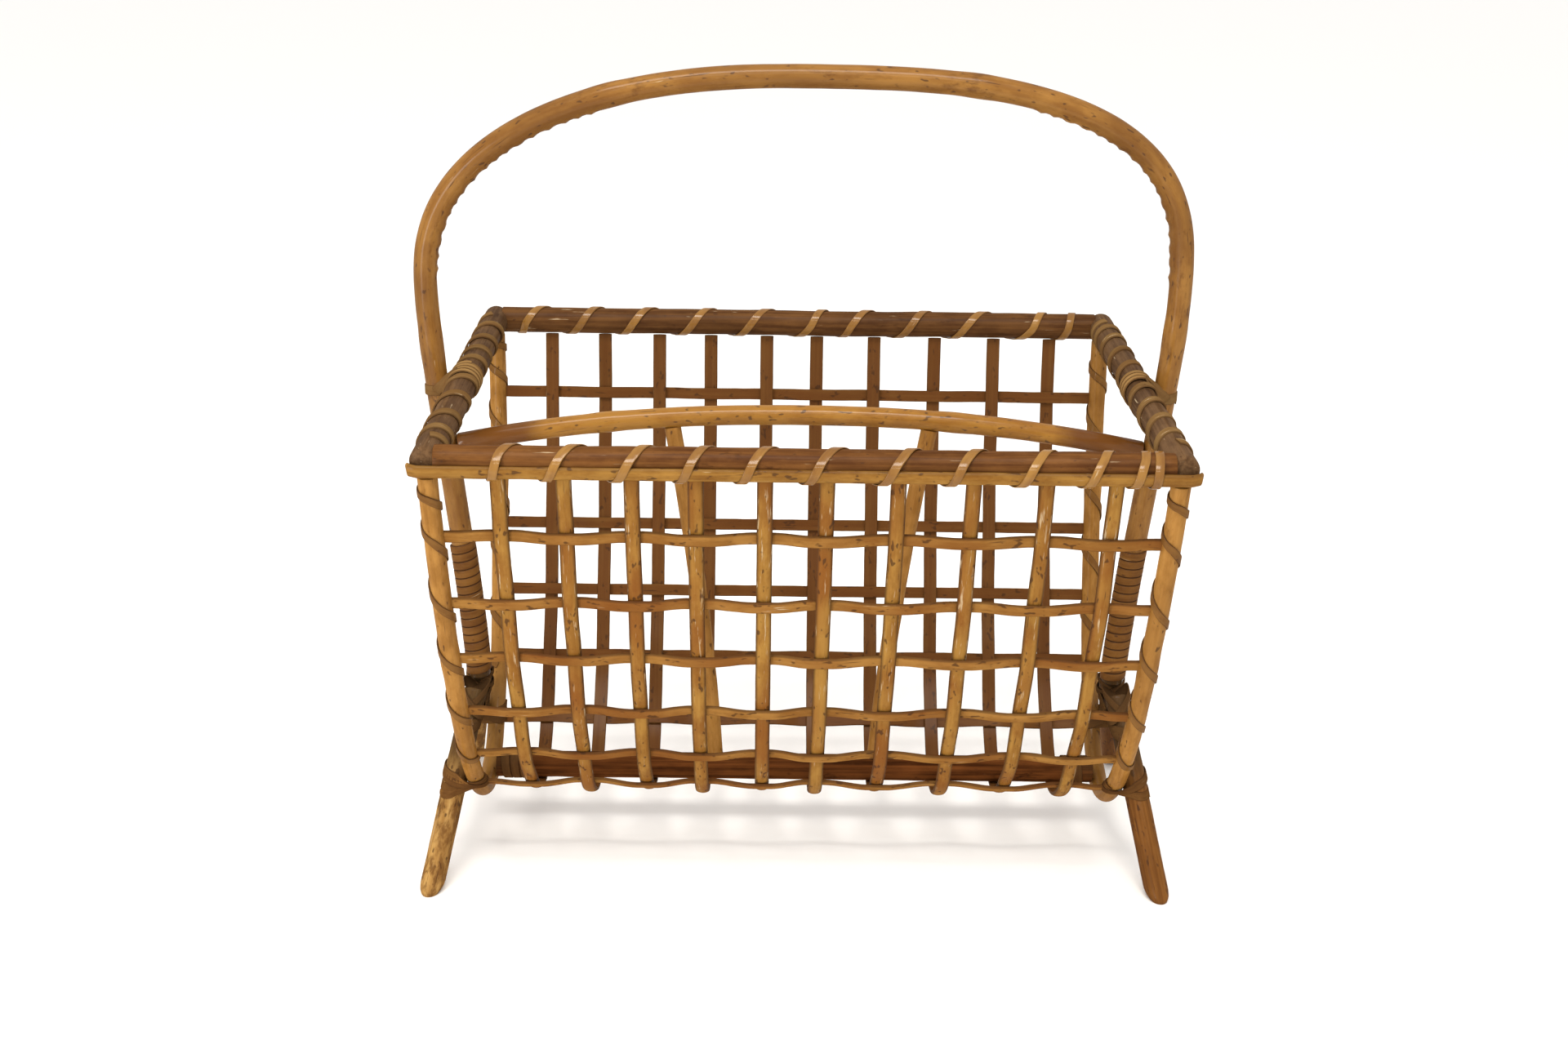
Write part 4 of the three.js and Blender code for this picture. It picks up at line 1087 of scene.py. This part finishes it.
# %% Make the divider
ARCH_RADIUS, ARCH_DROP, ARCH_FALL, ARCH_POWER, ARCH_STEPS = 0.006, 0.0185, 0.019, 2.2, 90
STRUT_RADIUS, STRUT_TOP, STRUT_MIDDLE, STRUT_FOOT, STRUT_STEPS = 0.005, 0.077, 0.061, 0.051, 40
ARCH_NODES, STRUT_NODE = (0.09, 0.3), 0.45
STRUT_OVERLAP = 1.2 * MM  # how far a strut's top reaches into the arch
low, high = (corner.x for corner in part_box("divider_arch"))
arch_line = []
for i in range(ARCH_STEPS + 1):
    x = low + (high - low) * i / ARCH_STEPS
    arch_line.append((x, RIM_HEIGHT - ARCH_DROP - ARCH_FALL * (abs(x) / RIM_HALF) ** ARCH_POWER, 0))
arch = straight_pole("divider_arch", line_length(arch_line), ARCH_RADIUS)
swell(arch, ARCH_NODES, 1.06)
shape(arch, (0.35 * MM, 0.022), 70, arch_line, STAND_UP, ARCH)
for corner in ("left", "right"):
    node = f"{corner}_divider_strut"
    low, high = (point.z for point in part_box(node))
    controls = [(STRUT_FOOT, low), (2 * STRUT_MIDDLE - (STRUT_TOP + STRUT_FOOT) / 2, (low + high) / 2),
                (STRUT_TOP, high + STRUT_OVERLAP)]
    line = bezier_line(controls, STRUT_STEPS, SIDES[corner])
    strut = straight_pole(node, line_length(line), STRUT_RADIUS, sides=20, spacing=4 * MM)
    swell(strut, [STRUT_NODE * line_length(line)], 1.07)
    shape(strut, (0.35 * MM, 0.02), 74 + SIDES[corner], line, STAND_UP, HONEY)
print("divider:", round(line_length(arch_line) / MM), "mm of pole")

# %% [markdown]
# ## Stakes
# Ten flat strips run from the front rail down, under the keel and up to the back rail. Each is cane
# split in half, its glossy skin outside and its flat pith inside. At each weaver a stake gives way a
# little, inwards or outwards in turn. The guide's own small waves make this bend, so that one strip
# can pass all twelve weavers.

# %% Weave the stakes
STAKE_WIDTH, STAKE_BEND = 0.0086, 0.0013
STAKE_PLACES = [RIM_HALF * share for share in (-0.815, -0.64, -0.46, -0.29, -0.105, 0.06, 0.25, 0.45, 0.645, 0.83)]
WEAVER_WIDTH, WEAVER_THICKNESS, EASE = 0.0074, 0.002, 0.0008
stake_line = trough_points(RAIL_RADIUS + 0.5 * MM)
stake_run = lengths_along(stake_line)


def stake_is_inside(panel, weaver, stake):
    return (weaver + stake + (panel == "front")) % 2 == 0


def wave_through(marks, flat, at):
    """A smooth line through (place, value) marks that stays level for a length around each."""
    return between([(place + shift, value) for place, value in marks for shift in (-flat, flat)], at, gently)


def offset_line(points, offsets, third):
    """A flat line moved sideways, to the left of its travel, by an offset at each point. third is its
    third coordinate."""
    moved = []
    for i, (x, y, _) in enumerate(points):
        ahead, behind = points[min(i + 1, len(points) - 1)], points[max(i - 1, 0)]
        travel = Vector((ahead[0] - behind[0], ahead[1] - behind[1])).normalized()
        moved.append((x - travel.y * offsets[i], y + travel.x * offsets[i], third))
    return moved


for stake, x in enumerate(STAKE_PLACES):
    # Left of its travel is the inside of the basket.
    marks = [(0, 0.0), (stake_run[-1], 0.0)]
    for panel in ("front", "back"):
        for weaver, drop in enumerate(WEAVER_DROPS):
            bend = STAKE_BEND if stake_is_inside(panel, weaver, stake) else -STAKE_BEND
            marks.append((length_at_drop(stake_line, drop, panel), bend))
    marks.sort()
    offsets = [wave_through(marks, WEAVER_WIDTH / 2 + EASE, at) for at in stake_run]
    line = offset_line(stake_line, offsets, x)
    strip = straight_strip(f"stake_{stake + 1:02d}", line_length(line), STAKE_WIDTH, STAKE_THICKNESS, 20)
    shape(strip, (0.25 * MM, 0.015), 1.7 * stake, line, TURN_AXES, STAKE, crown=-1)
print("stakes:", len(STAKE_PLACES), "of", round(stake_run[-1] / MM), "mm")

# %% [markdown]
# ## Weavers
# Six narrower strips run along the front and six along the back. Each goes behind one stake and in
# front of the next, and its neighbour does the opposite, which locks the weave. They are bent flat,
# along X, and then tilted so that they lie on the trough's side.

# %% Weave the weavers
POST_REACH = FRAME_RADIUS - 0.5 * MM
CROSSING_SHIFT = (STAKE_THICKNESS + WEAVER_THICKNESS) / 2 + CLEARANCE - STAKE_BEND
WEAVER_STEPS, PROBE_ANGLE = 260, 0.001


def trough_place(angle):
    return Vector((0, RIM_DEPTH_HALF * math.sin(angle), RIM_HEIGHT - drop_at(angle)))


def make_weaver(panel, weaver):
    drop = WEAVER_DROPS[weaver]
    angle = SIDES[panel] * angle_at(drop)
    middle = Vector((0, RIM_DEPTH_HALF * math.sin(angle), RIM_HEIGHT - drop))
    tangent = (trough_place(angle + PROBE_ANGLE) - middle).normalized()
    outward = Vector((0, tangent.z, -tangent.y))
    reach = end_place_at(drop) - POST_REACH
    shifts = [CROSSING_SHIFT if stake_is_inside(panel, weaver, stake) else -CROSSING_SHIFT
              for stake in range(len(STAKE_PLACES))]
    marks = [(-reach, 0.0), *zip(STAKE_PLACES, shifts), (reach, 0.0)]
    places = [-reach + 2 * reach * i / WEAVER_STEPS for i in range(WEAVER_STEPS + 1)]
    line = [(x, wave_through(marks, STAKE_WIDTH / 2 + EASE, x), 0) for x in places]
    strip = flat_strip(f"{panel}_weaver_{weaver + 1}", line_length(line), WEAVER_WIDTH, WEAVER_THICKNESS,
                       spacing=2.5 * MM)
    seed, slot = (0.9 * weaver, "split_cane") if panel == "front" else (0.9 * weaver + 7, "shaded_cane")
    along = Vector((1, 0, 0))
    tilted = Matrix((along, outward, along.cross(outward))).transposed().to_4x4()
    shape(strip, (0.35 * MM, 0.012), seed, line, Matrix.Translation(middle) @ tilted, WEAVER, crown=1)


for panel in ("front", "back"):
    for weaver in range(len(WEAVER_DROPS)):
        make_weaver(panel, weaver)
print("weavers:", 2 * len(WEAVER_DROPS))

# %% [markdown]
# ## Legs
# Two poles at each end lean together in an upside-down V, outside the end frame. They are the most
# worn poles of the basket. Their heads show inside the weave. Their feet are cut level by a bisect at
# the floor and then drawn in a little, as use has rounded them.

# %% Make the legs
LEG_RADIUS, FOOT_DISTANCE, FOOT_OVERHANG = 0.00725, 0.18, 0.011
LEG_HEAD_PLACE, LEG_HEAD_RISE, FLOOR_GAP = 0.012, 0.068, 0.03
LEG_SPARE, LEG_NODE = 12 * MM, 0.62  # the spare length below the floor is cut off
ON_FLOOR = 1e-6


def crossing_drop():
    """The drop at which a leg, seen from the end, crosses the end frame."""
    head_height = FLOOR_GAP + LEG_HEAD_RISE
    low, high = BASKET_DROP - LEG_HEAD_RISE, BASKET_DROP
    for _ in range(50):
        middle = (low + high) / 2
        height = RIM_HEIGHT - middle
        leg = FOOT_DISTANCE / 2 + (LEG_HEAD_PLACE - FOOT_DISTANCE / 2) * height / head_height
        low, high = (middle, high) if half_depth_at(middle) > leg else (low, middle)
    return low


CROSSING_DROP = crossing_drop()


def leg_line(side, panel_side):
    """A leg's foot, its crossing of the end frame and its head."""
    crossing = Vector((side * (end_place_at(CROSSING_DROP) + FRAME_RADIUS + CLEARANCE + LEG_RADIUS),
                       panel_side * half_depth_at(CROSSING_DROP), RIM_HEIGHT - CROSSING_DROP))
    foot = Vector((crossing.x + side * FOOT_OVERHANG, panel_side * FOOT_DISTANCE / 2, 0))
    share = (FOOT_DISTANCE / 2 - LEG_HEAD_PLACE) / (FOOT_DISTANCE / 2 - abs(crossing.y))
    return foot, crossing, foot.lerp(crossing, share)


for panel in ("front", "back"):
    for corner, finish in (("left", LEG), ("right", RED_LEG)):
        side, panel_side = SIDES[corner], SIDES[panel]
        foot, _, head = leg_line(side, panel_side)
        along = (head - foot).normalized()
        length = (head - foot).length + LEG_SPARE
        leg = straight_pole(f"{panel}_{corner}_leg", length, LEG_RADIUS, 32, 1.2 * MM, 1.6 * MM)
        swell(leg, [LEG_NODE * length], 1.04)
        roughen(leg, 0.5 * MM, 0.022)
        keep_straight_place(leg, 80 + side + 2 * panel_side)
        apply_place(leg, lay(foot - LEG_SPARE * along, along, (side, 0, 0)))
        start_edit(leg)
        bpy.ops.mesh.select_all(action="SELECT")
        bpy.ops.mesh.bisect(plane_co=(0, 0, 0), plane_no=(0, 0, 1), use_fill=True, clear_inner=True, threshold=ON_FLOOR)
        finish_edit()
        soft_edit(leg, lambda co: abs(co.z) < ON_FLOOR, bpy.ops.transform.resize, 6 * MM, "SHARP",
                  value=(0.66, 0.66, 1), center_override=foot)
        settle(leg, finish)
print("legs: 4, crossing the frames", round((RIM_HEIGHT - CROSSING_DROP) / MM), "mm up")

# %% [markdown]
# ## Lashings at the bottom
# Old, greyed cane binds each leg to the end frame, the heads of the legs to each other, and covers
# the ends of the keel. These turns are wide, uneven and not very tight. The poles here slant, so a
# level winding is made first, and each point then slides sideways with the pole that it goes round.

# %% Wind the bottom lashings
KEEL_TURNS, KEEL_PITCH, BOTTOM_WIDTH = 2.6, 0.0057, 0.0052
TIE_CANE_WIDTH, HEAD_CANE_WIDTH, HEAD_GAP = 0.0044, 0.0046, 0.0005
LEG_TIE_LOOPS = ((1.6, 2.8, 0.5, 6), (1.3, 1.5, 1.3, -15))  # turns, reach and gap in mm, and lean in degrees
HEAD_LOOPS = ((0.7, 38), (1.5, -38))  # gap in mm, and lean in degrees
HEAD_MARKS, OWN_MARKS = ((0, -3.5 * MM), (2.3, 3.5 * MM)), ((0, -1 * MM), (1.2, 1 * MM))
BOTH_DROP, OWN_DROP = 15 * MM, 5 * MM  # from a leg's head down to the turns round both legs, and round its own
PROBE = 1 * MM
UP = Vector((0, 0, 1))
for corner in ("left", "right"):
    side = SIDES[corner]
    cane = wind(f"{corner}_keel_lashing", [(0, 0), (KEEL_TURNS, KEEL_TURNS * KEEL_PITCH)],
                circle(KEEL_RADIUS + SNUG), BOTTOM_WIDTH, 90 + side)
    near = side * (keel_reach - BOTTOM_WIDTH)
    settle(cane, AGED, stand_along((near, 0, keel_height), (-side, 0, 0), UP))


def slant_of(along):
    """How far a pole runs sideways for each length upwards."""
    return Vector((along.x, along.y, 0)) / along.z


def clamped(value, low, high):
    return min(max(value, low), high)


def slide_over(piece, centre, lean, slant_at):
    """Pulls a level winding askew, and moves each point of it with the poles that it goes round, since
    they slant. slant_at gives the slant of the pole near a point."""
    rise = -math.tan(math.radians(lean))
    for point in piece.data.vertices:
        point.co.z += rise * (point.co.x - centre.x)
        point.co += (point.co.z - centre.z) * slant_at(point.co)
    return piece


def make_leg_tie(panel, corner):
    side, panel_side = SIDES[corner], SIDES[panel]
    foot, crossing, head = leg_line(side, panel_side)
    leg_slant = slant_of((head - foot).normalized())
    deeper, less_deep = half_depth_at(CROSSING_DROP - PROBE), half_depth_at(CROSSING_DROP + PROBE)
    frame_slant = Vector((0, panel_side * (deeper - less_deep) / (2 * PROBE), 0))
    frame_deep = FRAME_RADIUS * math.hypot(1, frame_slant.y)
    leg_deep = LEG_RADIUS * math.hypot(1, leg_slant.y)
    centre = Vector((side * end_place_at(CROSSING_DROP), crossing.y, crossing.z))
    leg_out = abs(crossing.x - centre.x)

    def slant_at(place):
        return frame_slant.lerp(leg_slant, clamped(side * (place.x - centre.x) / leg_out, 0.0, 1.0))

    loops = []
    for number, (turns, reach, gap, lean) in enumerate(LEG_TIE_LOOPS):
        gap = gap * MM
        tight = belt((0, 0, FRAME_RADIUS + gap, frame_deep + gap), (leg_out, 0, LEG_RADIUS + gap, leg_deep + gap))
        loop = wind(f"{panel}_{corner}_leg_tie", [(0, -reach * MM), (turns, reach * MM)], tight, TIE_CANE_WIDTH,
                    94 + number + side, pointed=True)
        apply_place(loop, stand_along(centre, UP, (side, 0, 0)))
        loops.append(slide_over(loop, centre, side * lean, slant_at))
    settle(join(*loops), AGED)


def make_head_lashing(corner):
    side = SIDES[corner]
    foot, _, head = leg_line(side, SIDES["front"])
    along = (head - foot).normalized()
    slant = slant_of(along)
    stretch = math.hypot(1, slant.y)
    name = f"{corner}_leg_head_lashing"
    middle = head - along * (BOTH_DROP / along.z)
    centre = Vector((middle.x, 0, middle.z))
    legs = [(y, 0, LEG_RADIUS * stretch + HEAD_GAP, LEG_RADIUS + HEAD_GAP) for y in (middle.y, -middle.y)]
    round_all = wind(name, HEAD_MARKS, belt(*legs), HEAD_CANE_WIDTH, 98 + side, pointed=True)
    apply_place(round_all, stand_along(centre, UP, (0, 1, 0)))
    loops = [slide_over(round_all, centre, 0,
                        lambda place: Vector((slant.x, slant.y * clamped(place.y / middle.y, -1.0, 1.0), 0)))]
    top = head - along * OWN_DROP
    for panel in ("front", "back"):
        high = Vector((top.x, SIDES[panel] * abs(top.y), top.z))
        own_slant = Vector((slant.x, -SIDES[panel] * abs(slant.y), 0))
        for number, (gap, lean) in enumerate(HEAD_LOOPS):
            radius = LEG_RADIUS + gap * MM
            tight = belt((0, 0, radius, radius * stretch))
            loop = wind(name, OWN_MARKS, tight, BOTTOM_WIDTH, 3 * number + side, pointed=True)
            apply_place(loop, stand_along(high, UP, (side, 0, 0)))
            loops.append(slide_over(loop, high, side * lean, lambda place: own_slant))
    settle(join(*loops), AGED)


for corner in ("left", "right"):
    for panel in ("front", "back"):
        make_leg_tie(panel, corner)
    make_head_lashing(corner)
print("bottom lashings done")

# %% Measure and finish
print("triangles", sum(len(p.vertices) - 2 for o in pieces_made for p in o.data.polygons))
